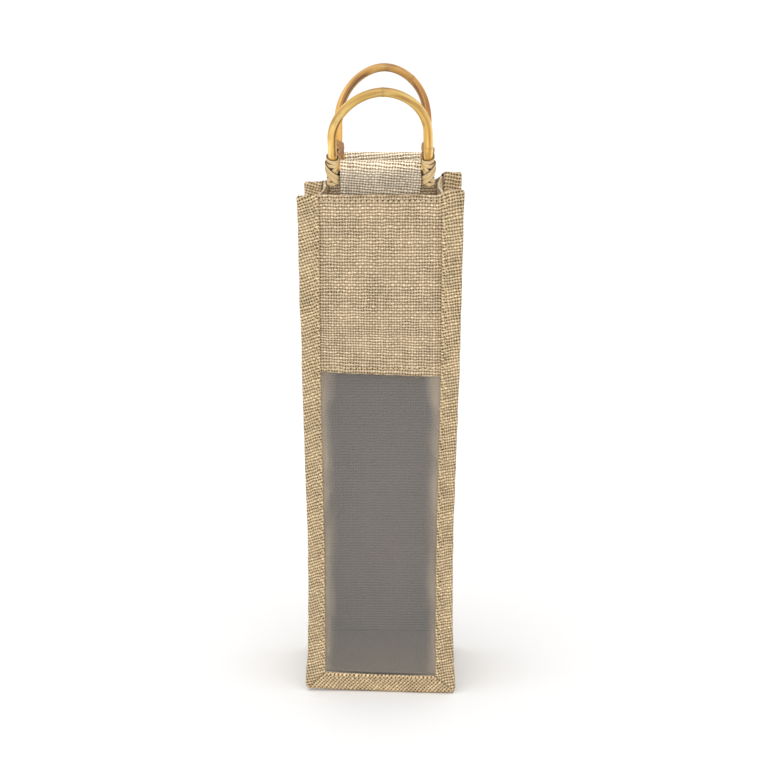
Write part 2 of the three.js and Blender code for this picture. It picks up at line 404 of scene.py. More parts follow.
@dataclass(frozen=True)
class ClearFilm:
    """Soft clear vinyl: a smoke-grey haze over what is behind it, and sharp, broken highlights.

    Args:
        name: the material's name.
        haze: its own colour.
        edge_reflection: the painted pale reflection along the sewn sides.
        opacity: how much it hides.
        edge_reflection_opacity: how much it hides along the sewn sides, where the reflection is painted.
        middle: the middle of the film, from its left edge.
    """

    name: str = "clear_vinyl"
    haze: str = "787d80"
    edge_reflection: str = "c6b8a4"
    opacity: float = 0.30
    edge_reflection_opacity: float = 0.46
    middle: float = 47.5

    def build(self) -> Material:
        """Makes the material."""
        material, tree, shader = new_material(self.name)
        place = add(tree, "UVMap", uv_map=CLOTH_UV)
        ripples = add(
            tree, "Mapping", {"Vector": place, "Scale": (28.0, 16.0, 1.0), "Rotation": (0.0, 0.0, 0.5)},
        )
        creases = add(
            tree, "TexNoise", {"Vector": ripples, "Scale": 1.0, "Detail": 3.0, "Distortion": 1.2},
        )
        bump = add(tree, "Bump", {"Height": creases, "Strength": 0.4, "Distance": 1.2 * MM})
        # A pale reflection is painted along the sides, where the film bends into the side bindings; it is
        # whiter and hides more there.
        axes = add(tree, "SeparateXYZ", {0: place})
        across = {0: axes.outputs["X"], 1: self.middle * MM}
        off = add(tree, "Math", across, operation="SUBTRACT")
        far = add(tree, "Math", {0: off}, operation="ABSOLUTE")
        wavy_far = add(tree, "Math", {0: creases, 1: 14 * MM, 2: far}, operation="MULTIPLY_ADD")
        reflection_mask = add(
            tree, "MapRange", {"Value": wavy_far, "From Min": 36.5 * MM, "From Max": 49 * MM},
            interpolation_type="SMOOTHSTEP",
        )
        tone = add(
            tree, "Mix", {0: reflection_mask, 6: linear(self.haze), 7: linear(self.edge_reflection)}, data_type="RGBA",
        )
        hidden = add(
            tree, "MapRange", {"Value": reflection_mask, "To Min": self.opacity, "To Max": self.edge_reflection_opacity},
        )
        fill(
            tree, shader,
            {"Base Color": tone.outputs[2], "Alpha": hidden, "Roughness": 0.13,
             "IOR": 1.53, "Normal": bump},
        )
        return material


@dataclass(frozen=True)
class Cane:
    """Bent and varnished cane: long straw and ochre streaks under a thin satin varnish.

    Args:
        name: the material's name.
        pale: the light streaks.
        gold: the main colour.
        ochre: the dark streaks.
        scar_and_shade: the node rings and cut ends, and the painted shade in the split's groove.
    """

    name: str
    pale: str = "efd081"
    gold: str = "dcb052"
    ochre: str = "ac7528"
    scar_and_shade: str = "66391a"

    def build(self) -> Material:
        """Makes the material on the cane's own grain."""
        material, tree, shader = new_material(self.name)
        place = add(tree, "UVMap", uv_map=GRAIN_UV)
        strokes = add(tree, "Mapping", {"Vector": place, "Scale": (620.0, 26.0, 1.0)})
        streaks = add(
            tree, "TexNoise", {"Vector": strokes, "Scale": 1.0, "Detail": 4.0, "Distortion": 0.4},
        )
        tone = add(
            tree, "ValToRGB", {0: streaks},
            stops=((0.30, self.ochre), (0.50, self.gold), (0.66, self.pale)),
        )
        mark = add(tree, "Attribute", attribute_name="scar_and_shade")
        blotch = add(tree, "Mapping", {"Vector": place, "Scale": (160.0, 60.0, 1.0)})
        spots = add(tree, "TexNoise", {"Vector": blotch, "Scale": 1.0, "Detail": 2.0})
        stain = add(
            tree, "MapRange",
            {"Value": spots, "From Min": 0.56, "From Max": 0.74, "To Min": 0.0, "To Max": 0.45},
        )
        marked = add(
            tree, "Math", {0: mark.outputs["Fac"], 1: stain}, operation="MAXIMUM", use_clamp=True,
        )
        colour = add(tree, "Mix", {0: marked, 6: tone, 7: linear(self.scar_and_shade)}, data_type="RGBA")
        # The cane is made lighter low on the legs and darker over the crown, by height.
        spot = add(tree, "TexCoord")
        height = add(tree, "SeparateXYZ", {0: spot.outputs["Object"]})
        by_height = add(
            tree,
            "MapRange",
            {"Value": height.outputs["Z"], "From Min": 0.388, "From Max": 0.420,
             "To Min": 1.18, "To Max": 0.74},
        )
        graded = add(tree, "VectorMath", {0: colour.outputs[2], "Scale": by_height}, operation="SCALE")
        bump = add(tree, "Bump", {"Height": streaks, "Strength": 0.35, "Distance": 0.2 * MM})
        fill(
            tree, shader,
            {"Roughness": 0.42, "Coat Weight": 0.35, "Coat Roughness": 0.25,
             "Base Color": graded, "Normal": bump},
        )
        return material


@dataclass(frozen=True)
class Rattan:
    """Split rattan strip: satin straw colour with fine long fibres, and dark edges that are partly browned
    and partly painted shade between the strips.

    Args:
        name: the material's name.
        pale: the middle of a strip.
        tan: its fibres.
        edge: its two edges, browned and painted dark as the shade between strips.
    """

    name: str
    pale: str = "ecd19c"
    tan: str = "bd9761"
    edge: str = "3c2410"

    def build(self) -> Material:
        """Makes the material on the strip's own grain."""
        material, tree, shader = new_material(self.name)
        place = add(tree, "UVMap", uv_map=GRAIN_UV)
        strokes = add(tree, "Mapping", {"Vector": place, "Scale": (1500.0, 60.0, 1.0)})
        streaks = add(tree, "TexNoise", {"Vector": strokes, "Scale": 1.0, "Detail": 3.0})
        tone = add(tree, "ValToRGB", {0: streaks}, stops=((0.32, self.tan), (0.62, self.pale)))
        # The strip's edges are darkened: partly browning, partly painted shade in the gaps between the
        # turns.
        edge_darkening = add(tree, "Attribute", attribute_name="scar_and_shade")
        colour = add(
            tree, "Mix", {0: edge_darkening.outputs["Fac"], 6: tone, 7: linear(self.edge)}, data_type="RGBA",
        )
        bump = add(tree, "Bump", {"Height": streaks, "Strength": 0.3, "Distance": 0.12 * MM})
        fill(tree, shader, {"Roughness": 0.48, "Base Color": colour.outputs[2], "Normal": bump})
        return material


@dataclass(frozen=True)
class Mottled:
    """A small plain finish with a little unevenness, such as thread, wire, glue or a pale floor.

    Args:
        name: the material's name.
        light: the lighter colour.
        dark: the darker colour.
        grain: how many patches of each there are in a millimetre.
        roughness: the surface's roughness.
        metallic: 1 on metal.
    """

    name: str
    light: str
    dark: str
    grain: float = 1.0
    roughness: float = 0.8
    metallic: float = 0.0

    def build(self) -> Material:
        """Makes the material on object coordinates."""
        material, tree, shader = new_material(self.name)
        place = add(tree, "TexCoord")
        patches = add(
            tree, "TexNoise",
            {"Vector": place.outputs["Object"], "Scale": self.grain / MM, "Detail": 2.0},
        )
        tone = add(tree, "ValToRGB", {0: patches}, stops=((0.35, self.dark), (0.65, self.light)))
        fill(tree, shader, {"Roughness": self.roughness, "Metallic": self.metallic, "Base Color": tone})
        return material


@dataclass
class Palette:
    """Every finish of the bag, each built once."""

    panel: Material
    binding: dict
    foot: Material
    tab: Material
    lining: Material
    film: Material
    cane: dict
    rattan: dict
    glue: Material
    steel: Material
    thread: Material
    needle_hole: Material
    fibre: Material
    floor: Material

    @classmethod
    def mixed(cls) -> "Palette":
        """Builds the finishes."""
        weave = weave_group()
        # Each side binding has a painted highlight along the ridge of its turned edge.
        slanted = {
            side: Jute(
                f"jute_binding_{side.label}", skew=skew, crown="e8d4b2", body="bca681",
                valley_shade="9b815d", rubbed=Rubbed("X", 4.9, 1.6, 1.30),
            )
            for side, skew in ((Side.LEFT, 18.0), (Side.RIGHT, -8.0))
        }
        return cls(
            panel=Jute("woven_jute").build(weave),
            binding={side: jute.build(weave) for side, jute in slanted.items()},
            # The foot binding has a painted highlight along the ridge of its turned edge.
            foot=Jute(
                "jute_binding_foot", skew=40, crown="e6d1ad", body="c8ae87",
                rubbed=Rubbed("X", 4.9, 1.6, 1.20),
            ).build(weave),
            # The tab is lighter than the panel, partly as painted light from above; its top fold gets a
            # painted highlight and its lower parts painted shade.
            tab=Jute(
                "woven_jute_tab", skew=5.0, crown="f6efe0", body="d2c2a8",
                rubbed=Rubbed("Y", 0.0, 15.0, 1.34, 0.80),
            ).build(weave),
            lining=Lining().build(weave), film=ClearFilm().build(),
            cane={
                End.FRONT: Cane("varnished_cane").build(),
                # The rear cane is a darker copy: partly a browner cane, partly painted shade for the handle
                # at the back.
                End.REAR: Cane(
                    "varnished_cane_dark", pale="e8bb66", gold="d39b42", ochre="9f6526",
                ).build(),
            },
            rattan={
                End.FRONT: Rattan("split_rattan").build(),
                # The rear rattan is a darker copy: partly browner, partly painted shade for the lashings at
                # the back.
                End.REAR: Rattan(
                    "split_rattan_dark", pale="b58a5c", tan="93683e", edge="54331a",
                ).build(),
            },
            glue=Mottled("dried_glue", "5a3a1c", "3a2411", 0.8, 0.6).build(),
            steel=Mottled("zinc_plated_wire", "b9bbbb", "9c9e9e", 2.0, 0.35, 1.0).build(),
            thread=Mottled("jute_thread", "e2d1ad", "c3aa7c", 2.5, 0.8).build(),
            needle_hole=Mottled("needle_hole_shade", "5f4628", "3f2c17", 1.0, 1.0).build(),
            fibre=Mottled("loose_jute_fibre", "ead9b4", "cbb286", 0.5, 0.75).build(),
            floor=Mottled("white_studio_floor", "ececec", "ebebeb", 0.002, 0.9).build(),
        )


# ------------------------------------------------------------------------------------ mesh helpers


def smoothstep(value: float, low: float, high: float) -> float:
    """Goes smoothly from 0 at low to 1 at high."""
    t = min(1.0, max(0.0, (value - low) / (high - low)))
    return t * t * (3 - 2 * t)


def curve_through(stations: Sequence[tuple[float, float]]) -> Callable[[float], float]:
    """Makes a smooth function through stations that never overshoots them.

    Args:
        stations: pairs of height and value, from the lowest up.

    Returns:
        The value at a height. It runs straight on past both ends.
    """
    z, x = (np.array(c, float) for c in zip(*stations))
    slope = np.diff(x) / np.diff(z)
    tangent = np.array([slope[0], *np.zeros(len(z) - 2), slope[-1]])
    for i in range(1, len(z) - 1):
        if slope[i - 1] * slope[i] > 0:
            tangent[i] = 2 * slope[i - 1] * slope[i] / (slope[i - 1] + slope[i])

    def at(height: float) -> float:
        if height <= z[0]:
            return float(x[0])
        if height >= z[-1]:
            return float(x[-1] + tangent[-1] * (height - z[-1]))
        i = int(np.searchsorted(z, height)) - 1
        h = z[i + 1] - z[i]
        t = (height - z[i]) / h
        return float(
            (1 + 2 * t) * (1 - t) ** 2 * x[i]
            + t * (1 - t) ** 2 * h * tangent[i]
            + t * t * (3 - 2 * t) * x[i + 1]
            + t * t * (t - 1) * h * tangent[i + 1]
        )

    return at


def arc(
    centre: tuple[float, float], radius: float, start: float, end: float, parts: int = 8
) -> list[tuple[float, float]]:
    """Gives points round a centre from one angle to another, in degrees."""
    angles = np.radians(np.linspace(start, end, parts + 1))
    return [(centre[0] + radius * math.cos(a), centre[1] + radius * math.sin(a)) for a in angles]


@dataclass
class Line:
    """A line in a plane that a piece of cloth follows, measured along its length.

    Args:
        points: the line's corners and bends.
        step: the longest distance between two rows of the cloth.
    """

    points: list[tuple[float, float]]
    step: float = 1.8
    rows: list[float] = field(init=False)

    def __post_init__(self) -> None:
        """Fills long runs with rows and measures the line."""
        filled = [np.array(self.points[0], float)]
        for point in self.points[1:]:
            here, there = filled[-1], np.array(point, float)
            parts = max(1, math.ceil(float(np.linalg.norm(there - here)) / self.step))
            filled += [here + (there - here) * k / parts for k in range(1, parts + 1)]
        self._places = np.array(filled)
        steps = np.linalg.norm(np.diff(self._places, axis=0), axis=1)
        self.rows = [0.0, *np.cumsum(steps).tolist()]

    @property
    def length(self) -> float:
        """The whole length."""
        return self.rows[-1]

    def at(self, distance: float) -> tuple[float, float]:
        """The point at a distance from the line's start."""
        return tuple(float(np.interp(distance, self.rows, c)) for c in self._places.T)


def spread(low: float, high: float, step: float) -> list[float]:
    """Even places from low to high, at most a step apart."""
    return np.linspace(low, high, max(2, math.ceil(abs(high - low) / step) + 1)).tolist()


def bare_object(
    name: str, points: Sequence[Vector], edges: Sequence = (), faces: Sequence = ()
) -> Object:
    """Makes an object in the scene, with no finish yet, from places in metres."""
    mesh = bpy.data.meshes.new(name)
    mesh.from_pydata([tuple(p) for p in points], edges, [tuple(f) for f in faces])
    made = bpy.data.objects.new(name, mesh)
    bpy.context.scene.collection.objects.link(made)
    return made


def mesh_object(
    name: str, points: Sequence[Vector], faces: Sequence[Sequence[int]], materials: Sequence[Material],
    uv_name: str = "", uvs: Sequence[Sequence[tuple[float, float]]] = (),
) -> Object:
    """Makes an object in the scene from places in millimetres.

    Args:
        name: the piece's name.
        points: the corners.
        faces: the corners of each face, anticlockwise from outside.
        materials: the object's materials.
        uv_name: the name of its UV map.
        uvs: for each face, one UV for each of its corners.

    Returns:
        The new object, at the origin.
    """
    made = bare_object(name, [Vector(p) * MM for p in points], faces=faces)
    mesh = made.data
    for material in materials:
        mesh.materials.append(material)
    if uv_name:
        layer = mesh.uv_layers.new(name=uv_name)
        flat = [c for face in uvs for corner in face for c in corner]
        layer.data.foreach_set("uv", np.array(flat, np.float32))
    mesh.shade_smooth()
    return made


def settle(piece: Object) -> Object:
    """Turns a piece's modifiers into plain mesh and removes them."""
    bpy.context.view_layer.update()
    graph = bpy.context.evaluated_depsgraph_get()
    mesh = bpy.data.meshes.new_from_object(
        piece.evaluated_get(graph), preserve_all_data_layers=True, depsgraph=graph
    )
    piece.modifiers.clear()
    piece.data = mesh
    mesh.name = piece.name
    return piece


def ripple(x: float, y: float, z: float) -> float:
    """Smooth noise from about -1 to 1, the same on each run."""
    return noise.noise(Vector((x, y, z)))


Placed = tuple[Vector, tuple[float, float]]  # a point, and its place on the cloth
Place = Callable[[float, float], Placed]


def cloth(
    name: str, columns: Sequence[float], rows: Sequence[float], place: Place, outside: Material,
    inside: Material, thickness: float = PLY, turned: bool = False,
) -> Object:
    """Makes a piece of cloth with a real thickness from a grid.

    Args:
        name: the piece's name.
        columns: places across the piece.
        rows: places along it.
        place: gives the point in space and the place on the cloth, both in millimetres.
        outside: the finish of the side that the grid faces.
        inside: the finish of the other side.
        thickness: the cloth's thickness.
        turned: whether the grid has to be turned round to face out.

    Returns:
        The finished piece as plain mesh.
    """
    placed = [place(u, v) for v in rows for u in columns]
    width = len(columns)
    faces = []
    for j in range(len(rows) - 1):
        for i in range(width - 1):
            a = j * width + i
            quad = (a, a + 1, a + 1 + width, a + width)
            faces.append(quad[::-1] if turned else quad)
    uvs = [[tuple(c * MM for c in placed[k][1]) for k in quad] for quad in faces]
    points = [p for p, _ in placed]
    piece = mesh_object(name, points, faces, [outside, inside], CLOTH_UV, uvs)
    wall = piece.modifiers.new("wall", "SOLIDIFY")
    wall.thickness = thickness * MM
    wall.offset = 0
    wall.material_offset = 1
    wall.material_offset_rim = 0
    return settle(piece)


Outline = list[tuple[float, float, float]]  # first axis, second axis, and how scarred or painted dark as shade


@dataclass
class Sweep:
    """Gathers one or more swept strips or rods into one mesh.

    Args:
        points: the corners so far.
        faces: the faces so far.
        uvs: the grain places of each face.
        scar_and_shade_levels: how marked each corner is, or how dark it is painted as shade, 0 to 1.
        kinds: the material number of each face.
    """

    points: list[Vector] = field(default_factory=list)
    faces: list[tuple[int, ...]] = field(default_factory=list)
    uvs: list[list[tuple[float, float]]] = field(default_factory=list)
    scar_and_shade_levels: list[float] = field(default_factory=list)
    kinds: list[int] = field(default_factory=list)

    def add(
        self, path: Sequence[Vector], normals: Sequence[Vector],
        section: Callable[[int], Sequence[tuple[float, float, float]]], closed: bool = False,
        kind: int = 0,
    ) -> None:
        """Sweeps a section along a path.

        Args:
            path: the middle of each section.
            normals: the direction of the section's first axis at each place.
            section: for a place's number, its outline as (first axis, second axis, scar_and_shade).
            closed: whether the path joins its own start.
            kind: the number of the material.
        """
        base, count = len(self.points), len(path)
        along = 0.0
        lengths = [0.0]
        for i in range(count):
            ahead = path[(i + 1) % count] if closed or i < count - 1 else path[i]
            behind = path[i - 1] if closed or i > 0 else path[i]
            tangent = (ahead - behind).normalized()
            first = (normals[i] - tangent * normals[i].dot(tangent)).normalized()
            second = tangent.cross(first)
            outline = section(i)
            self.points += [path[i] + first * a + second * b for a, b, _ in outline]
            self.scar_and_shade_levels += [s for _, _, s in outline]
            along += (path[(i + 1) % count] - path[i]).length
            lengths.append(along)
        outline = section(0)
        sides = len(outline)
        round_it = [0.0]
        for k in range(sides):
            a, b = outline[k], outline[(k + 1) % sides]
            round_it.append(round_it[-1] + math.hypot(b[0] - a[0], b[1] - a[1]))
        for i in range(count if closed else count - 1):
            for k in range(sides):
                here, there = base + i * sides, base + (i + 1) % count * sides
                nxt = (k + 1) % sides
                self.faces.append((here + k, here + nxt, there + nxt, there + k))
                self.uvs.append(
                    [
                        (round_it[p] * MM, lengths[q] * MM)
                        for p, q in ((k, i), (k + 1, i), (k + 1, i + 1), (k, i + 1))
                    ]
                )
                self.kinds.append(kind)
        if not closed:
            for ring, order in ((0, range(sides - 1, -1, -1)), (count - 1, range(sides))):
                self.faces.append(tuple(base + ring * sides + k for k in order))
                self.uvs.append([(outline[k][0] * MM, outline[k][1] * MM) for k in order])
                self.kinds.append(kind)

    def made(self, name: str, materials: Sequence[Material]) -> Object:
        """Makes the object."""
        piece = mesh_object(name, self.points, self.faces, materials, GRAIN_UV, self.uvs)
        piece.data.polygons.foreach_set("material_index", np.array(self.kinds, np.int32))
        scar_and_shade = piece.data.attributes.new("scar_and_shade", "FLOAT", "POINT")
        scar_and_shade.data.foreach_set("value", np.array(self.scar_and_shade_levels, np.float32))
        return piece


def round_section(radius: float, sides: int = 24) -> Outline:
    """A circle as a section without scars."""
    turns = [2 * math.pi * k / sides for k in range(sides)]
    return [(radius * math.cos(a), radius * math.sin(a), 0.0) for a in turns]


def corners(node: str) -> tuple[Vector, Vector]:
    """A CAD node's lowest and highest corners in millimetres."""
    low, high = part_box(node)
    return low / MM, high / MM


# ---------------------------------------------------------------------------------------- the bag


@dataclass(frozen=True)
class BagShape:
    """The sewn bag's outline, and how its cloth hangs out of true.

    Args:
        fin_edge: height and half width of the bound fins, from the ground up.
        seam_line: height and half width of the seam between a face and its gusset.
        corner_lift: how far each corner of the mouth stands above or below the rim.
        pinch: how far the gussets are drawn in at the middle of the mouth.
        rim_wave: how far the rim goes up and down between its corners.
        fin_wave: how far the fins wave to front and back.
        slack: how far the faces wave to front and back.
        bow: how far the faces stand out between the fins.
        splay: how far the right of the front's foot is forward.
        stand_off: how far the left of the front's foot is off the ground.
    """

    fin_edge: tuple = ((0, 48.5), (1.2, 51.3), (4, 52.5), (28, 50.9), (85, 49.9), (215, 52.7), (350, 55.5))
    seam_line: tuple = ((12.5, 38.6), (85, 38.6), (215, 40.4), (350, 41))
    corner_lift: tuple = (
        (Face.FRONT, Side.LEFT, -1.2),
        (Face.FRONT, Side.RIGHT, 2.4),
        (Face.BACK, Side.LEFT, -2.6),
        (Face.BACK, Side.RIGHT, 4.5),
    )
    pinch: float = 1.6
    rim_wave: float = 0.5
    fin_wave: float = 1.0
    slack: float = 0.7
    bow: float = 0.9
    splay: float = 3.0
    stand_off: float = 1.5

    @property
    def front(self) -> float:
        """The y of the front bindings' outer face."""
        return corners("front_left_binding")[0].y

    @property
    def back(self) -> float:
        """The y of the back bindings' outer face."""
        return corners("back_left_binding")[1].y


class Bag:
    """The sewn bag: panels, gussets, floor, window and bindings, all on the body named bag."""

    BODY = "bag"
    PANEL_DEPTH = 1.85  # middle of the panel's layer, from the bag's face
    HEM_DEPTH = 3.15
    HEM_HALF = 37.6  # half width of a turned hem, between the gussets
    HEM_DROP = 20.0  # how far it goes down inside
    FILM_DEPTH = 2.85  # behind the panel
    FILM_EDGE = 1.75  # against the bindings below the panel
    FOLD = 0.65  # radius of a turned hem, at the middle of its layer
    WINDOW_HEM = 8.0
    WINDOW_HEM_SHARE = 0.985  # of the panel's width
    WINDOW_RAISE = 4.4  # the slack panel's lower edge is drawn up, more on the left
    WINDOW_SLANT = 1.7
    STRIP_WIDTH = 14.0  # of a side binding where it is neither wide nor narrow
    FOOT_WIDTH = 13.2
    BINDING_FRONT, BINDING_BACK = 0.5, 3.85  # depths of a binding's two layers
    TURNED_DEPTH = -0.85  # of its turned edge, which stands proud
    STITCHED_DEPTH = -0.22  # where its stitches press it down
    UNDER_DEPTH = 0.74  # of the part tucked under the turned edge
    TUCK = 0.45  # how far bindings go under each other at a mitre

    def __init__(self, shape: BagShape, palette: Palette) -> None:
        """Reads the sizes that the frame gives.

        Args:
            shape: the outline.
            palette: the finishes.
        """
        self.shape = shape
        self.palette = palette
        self.fin = curve_through(shape.fin_edge)
        self.seam = curve_through(shape.seam_line)
        self.front, self.back = shape.front, shape.back
        panel_low, panel_high = corners("front_upper_panel")
        hem_low, _ = corners("bottom_gusset")
        self.rim = panel_high.z
        self.window_top = panel_low.z
        self.panel_half = panel_high.x
        self.floor = hem_low.z
        self.lift = {(face, side): value for face, side, value in shape.corner_lift}

    # ---- where cloth lies

    def warp(self, x: float, y: float, z: float) -> Vector:
        """Moves a point of the true bag to where the slack, sewn bag has it.

        Every piece goes through the same movement, so layers that lie on each other stay so.

        Args:
            x: distance to the right of the middle.
            y: place from front to back.
            z: height.

        Returns:
            The moved point.
        """
        shape = self.shape
        t = min(1.0, max(0.0, (y - self.front) / (self.back - self.front)))
        side = Side.RIGHT if x > 0 else Side.LEFT
        outer = smoothstep(abs(x), 37, 45)
        standing = smoothstep(z, 0, 30)
        near_rim = smoothstep(z, self.rim - 26, self.rim)
        lift = (1 - t) * self.lift[Face.FRONT, side] + t * self.lift[Face.BACK, side]
        dz = lift * outer * near_rim + shape.rim_wave * near_rim * ripple(x / 17, t * 3, 4.2)
        # The fins wave, more towards their edges.
        fin_wave = shape.fin_wave * ripple(side.value * 3.1, z / 38, round(t) * 5.7)
        slack = shape.slack * ripple(x / 34, z / 48, round(t) * 9.3)
        at_faces = 1 - math.sin(math.pi * t)
        dy = standing * at_faces * (outer * fin_wave + slack)
        bow = shape.bow * math.cos(math.pi * min(1.0, abs(x) / 45) / 2) * standing
        dy += (t - 0.5) * 2 * bow * (1 - near_rim)
        # The foot of the front splays forward on the right and stands a little off on the left.
        at_foot = (1 - t) ** 2 * (1 - smoothstep(z, 0, 95))
        dy -= shape.splay * at_foot * smoothstep(x, -20, 52)
        dz += shape.stand_off * at_foot * smoothstep(-x, -10, 52)
        # The gussets are drawn in at the mouth, with a soft crease down the middle.
        crease = math.sin(math.pi * t) ** 2
        fade = math.exp(-(self.rim - min(z, self.rim)) / 70) * standing
        dx = -side.value * smoothstep(abs(x), 20, 38) * crease * (shape.pinch * fade + 0.5)
        dx += standing * 0.35 * ripple(side.value * 2.3, z / 26, t * 2)
        return Vector((x + dx, y + dy, z + dz))

    def depth(self, face: Face, distance: float) -> float:
        """The y of a layer at a distance inward from a face."""
        edge = self.front if face is Face.FRONT else self.back
        return edge - face.value * distance

    def sew(
        self, piece: Object, nodes: Sequence[str], flat: tuple[float, float],
    ) -> Object:
        """Args:
            piece: the cloth.
            nodes: the CAD nodes it stands for.
            flat: its cut width and length in millimetres.

        Returns:
            The same piece.
        """
        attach(piece, self.BODY)
        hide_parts(*nodes)
        log.info("%s: cut %.0f by %.0f mm", piece.name, *flat)
        return piece

    # ---- panels

    def build_panel(self, face: Face) -> Object:
        """Makes a face's jute, with its turned hem at the mouth and, in front, over the window."""
        depth, hem, fold = self.PANEL_DEPTH, self.HEM_DEPTH, self.FOLD
        middle = (depth + hem) / 2
        top = self.rim - fold - PLY / 2
        hem_end = self.rim - self.HEM_DROP
        if face is Face.FRONT:
            foot = self.window_top + fold + PLY / 2
            start = [(hem, foot + self.WINDOW_HEM)]
            start += arc((middle, foot), fold, 0, -180)
        else:
            start = [(depth, corners("back_panel")[0].z)]
        line = Line([*start, *arc((middle, top), fold, 180, 0), (hem, hem_end)])
        half, narrow = self.panel_half, self.HEM_HALF

        def place(u: float, v: float) -> Placed:
            d, z = line.at(v)
            inner = smoothstep(d, middle - fold, middle + fold)
            x = u * (half + (narrow - half) * inner) / half
            if face is Face.FRONT and z < self.window_top + 14 and d > middle:
                x *= self.WINDOW_HEM_SHARE
            if face is Face.FRONT:
                wobble = 0.5 * ripple(u / 9, 2.0, 0.0)
                raised = self.WINDOW_RAISE - self.WINDOW_SLANT * u / half + wobble
                z += raised * (1 - smoothstep(z, self.window_top + 10, self.window_top + 50))
            return self.warp(x, self.depth(face, d), z), (u + half, v)

        name = "front_upper_panel_cloth" if face is Face.FRONT else "back_panel_cloth"
        node = "front_upper_panel" if face is Face.FRONT else "back_panel"
        piece = cloth(
            name, spread(-half, half, 1.9), line.rows, place, self.palette.panel, self.palette.lining,
            turned=face is Face.BACK,
        )
        return self.sew(piece, [node], (2 * half, line.length))

    def build_gusset(self, side: Side) -> Object:
        """Makes a side wall with its hem turned in at the mouth."""
        name = side.label + "_gusset"
        low, high = corners(name)
        fold = self.FOLD
        top = self.rim - fold - PLY / 2
        web = PLY / 2
        line = Line(
            [
                (web, self.floor), *arc((web - fold, top), fold, 0, 180),
                (web - 2 * fold, self.rim - self.HEM_DROP),
            ],
            step=2.2,
        )

        def place(u: float, v: float) -> Placed:
            e, z = line.at(v)
            x = side.value * (self.seam(z) + e)
            return self.warp(x, u, z), (u - low.y, v)

        piece = cloth(
            name + "_cloth", spread(low.y, high.y, 2.0), line.rows, place, self.palette.panel,
            self.palette.lining, turned=side is Side.LEFT,
        )
        return self.sew(piece, [name], (high.y - low.y, line.length))

    def build_floor(self) -> Object:
        """Makes the floor, which sags a little between its seams."""
        low, high = corners("bottom_gusset")
        middle = (low.z + high.z) / 2

        def place(u: float, v: float) -> Placed:
            across = math.cos(math.pi * u / (2 * high.x))
            along = math.sin(math.pi * (v - low.y) / (high.y - low.y))
            dent = 0.25 * ripple(u / 14, v / 14, 0)
            sag = Vector((0, 0, (1.3 + dent) * across * along))
            return self.warp(u, v, middle) - sag, (u - low.x, v - low.y)

        piece = cloth(
            "bottom_gusset_cloth", spread(low.x, high.x, 2.0), spread(low.y, high.y, 2.0), place,
            self.palette.lining, self.palette.panel,
        )
        flat = (high.x - low.x, high.y - low.y)
        return self.sew(piece, ["bottom_gusset"], flat)

    def build_window(self) -> Object:
        """Makes the clear sheet, slack enough to ripple, held by the bindings and the panel."""
        low, high = corners("window_sheet")

        def place(u: float, v: float) -> Placed:
            free = 1 - smoothstep(abs(u), 26, 37.5)
            behind = smoothstep(v, self.window_top - 9, self.window_top - 1)
            above_foot = smoothstep(v, 14, 34)
            meets = smoothstep(v, self.window_top - 22, self.window_top - 3)
            depth = self.FILM_EDGE + (self.FILM_DEPTH - self.FILM_EDGE) * meets
            depth += 1.45 * free * behind
            slack = 0.75 * ripple(u / 21, v / 40, 1.7)
            slack += 0.3 * ripple(u / 8 + v / 22, v / 11, 6.1)
            depth += slack * free * above_foot * (1 - behind)
            return self.warp(u, self.depth(Face.FRONT, depth), v), (u - low.x, v - low.z)

        piece = cloth(
            "window_film", spread(low.x, high.x, 1.6), spread(low.z, high.z, 1.8), place,
            self.palette.film, self.palette.film, thickness=FILM,
        )
        flat = (high.x - low.x, high.z - low.z)
        return self.sew(piece, ["window_sheet"], flat)

    # ---- bindings

    def strip_line(self, width: float) -> Line:
        """The way a binding goes round its fin, as distance from the seam and depth.

        It starts under its own turned edge, comes out over the fin, goes round the fin's edge and
        ends behind it.
        """
        over, back = self.BINDING_FRONT, self.BINDING_BACK
        raised, pressed, under = self.TURNED_DEPTH, self.STITCHED_DEPTH, self.UNDER_DEPTH
        turn = (under - raised) / 2
        bend = (back - over) / 2
        rim = width - PLY / 2 - bend
        # The stitches press a groove beside the turned edge.
        ease = [(2.0, -0.66), (2.4, -0.36), (2.9, pressed), (3.6, pressed - 0.08)]
        ease += [
            (s, pressed + (over - pressed) * smoothstep(s, 4.6, 8.2))
            for s in np.linspace(4.6, 8.2, 7)
        ]
        return Line(
            [
                (5.0, under), *arc((turn + PLY / 2, (under + raised) / 2), turn, 90, 270, 6), *ease,
                *arc((rim, over + bend), bend, -90, 90, 8), (1.7, back),
            ],
            step=1.25,
        )

    def side_place(self, side: Side, face: Face, line: Line) -> Place:
        """Gives the place function of a side binding, whose rows run 0 to 1 up the fin."""
        mitre_top, mitre_foot = self.FOOT_WIDTH - 0.1, 0.1

        def place(u: float, v: float) -> Placed:
            s, d = line.at(u)
            share = s / self.STRIP_WIDTH
            foot = mitre_top + (mitre_foot - mitre_top) * min(1.0, share)
            z = foot + (self.rim + 0.3 - foot) * v
            tuck = self.TUCK * (1 - smoothstep(z - foot, 0, 1.6))
            d += tuck if d < 2 else 0.0
            close = min(1.0, max(0.0, (z - self.rim + 2.7) / 3.0))
            squeeze = 1 - (1 - math.sqrt(1 - close * close)) * 0.62
            middle = (self.BINDING_FRONT + self.BINDING_BACK) / 2
            d = middle + (d - middle) * squeeze
            x = self.seam(z) + share * (self.fin(z) - self.seam(z)) - 0.5 * close**4 * share
            edge = 0.35 * ripple(z / 11, side.value * 7.7, face.value * 3.3) * share
            at = self.warp(side.value * (x + edge), self.depth(face, d), z)
            return at, (u, z)

        return place

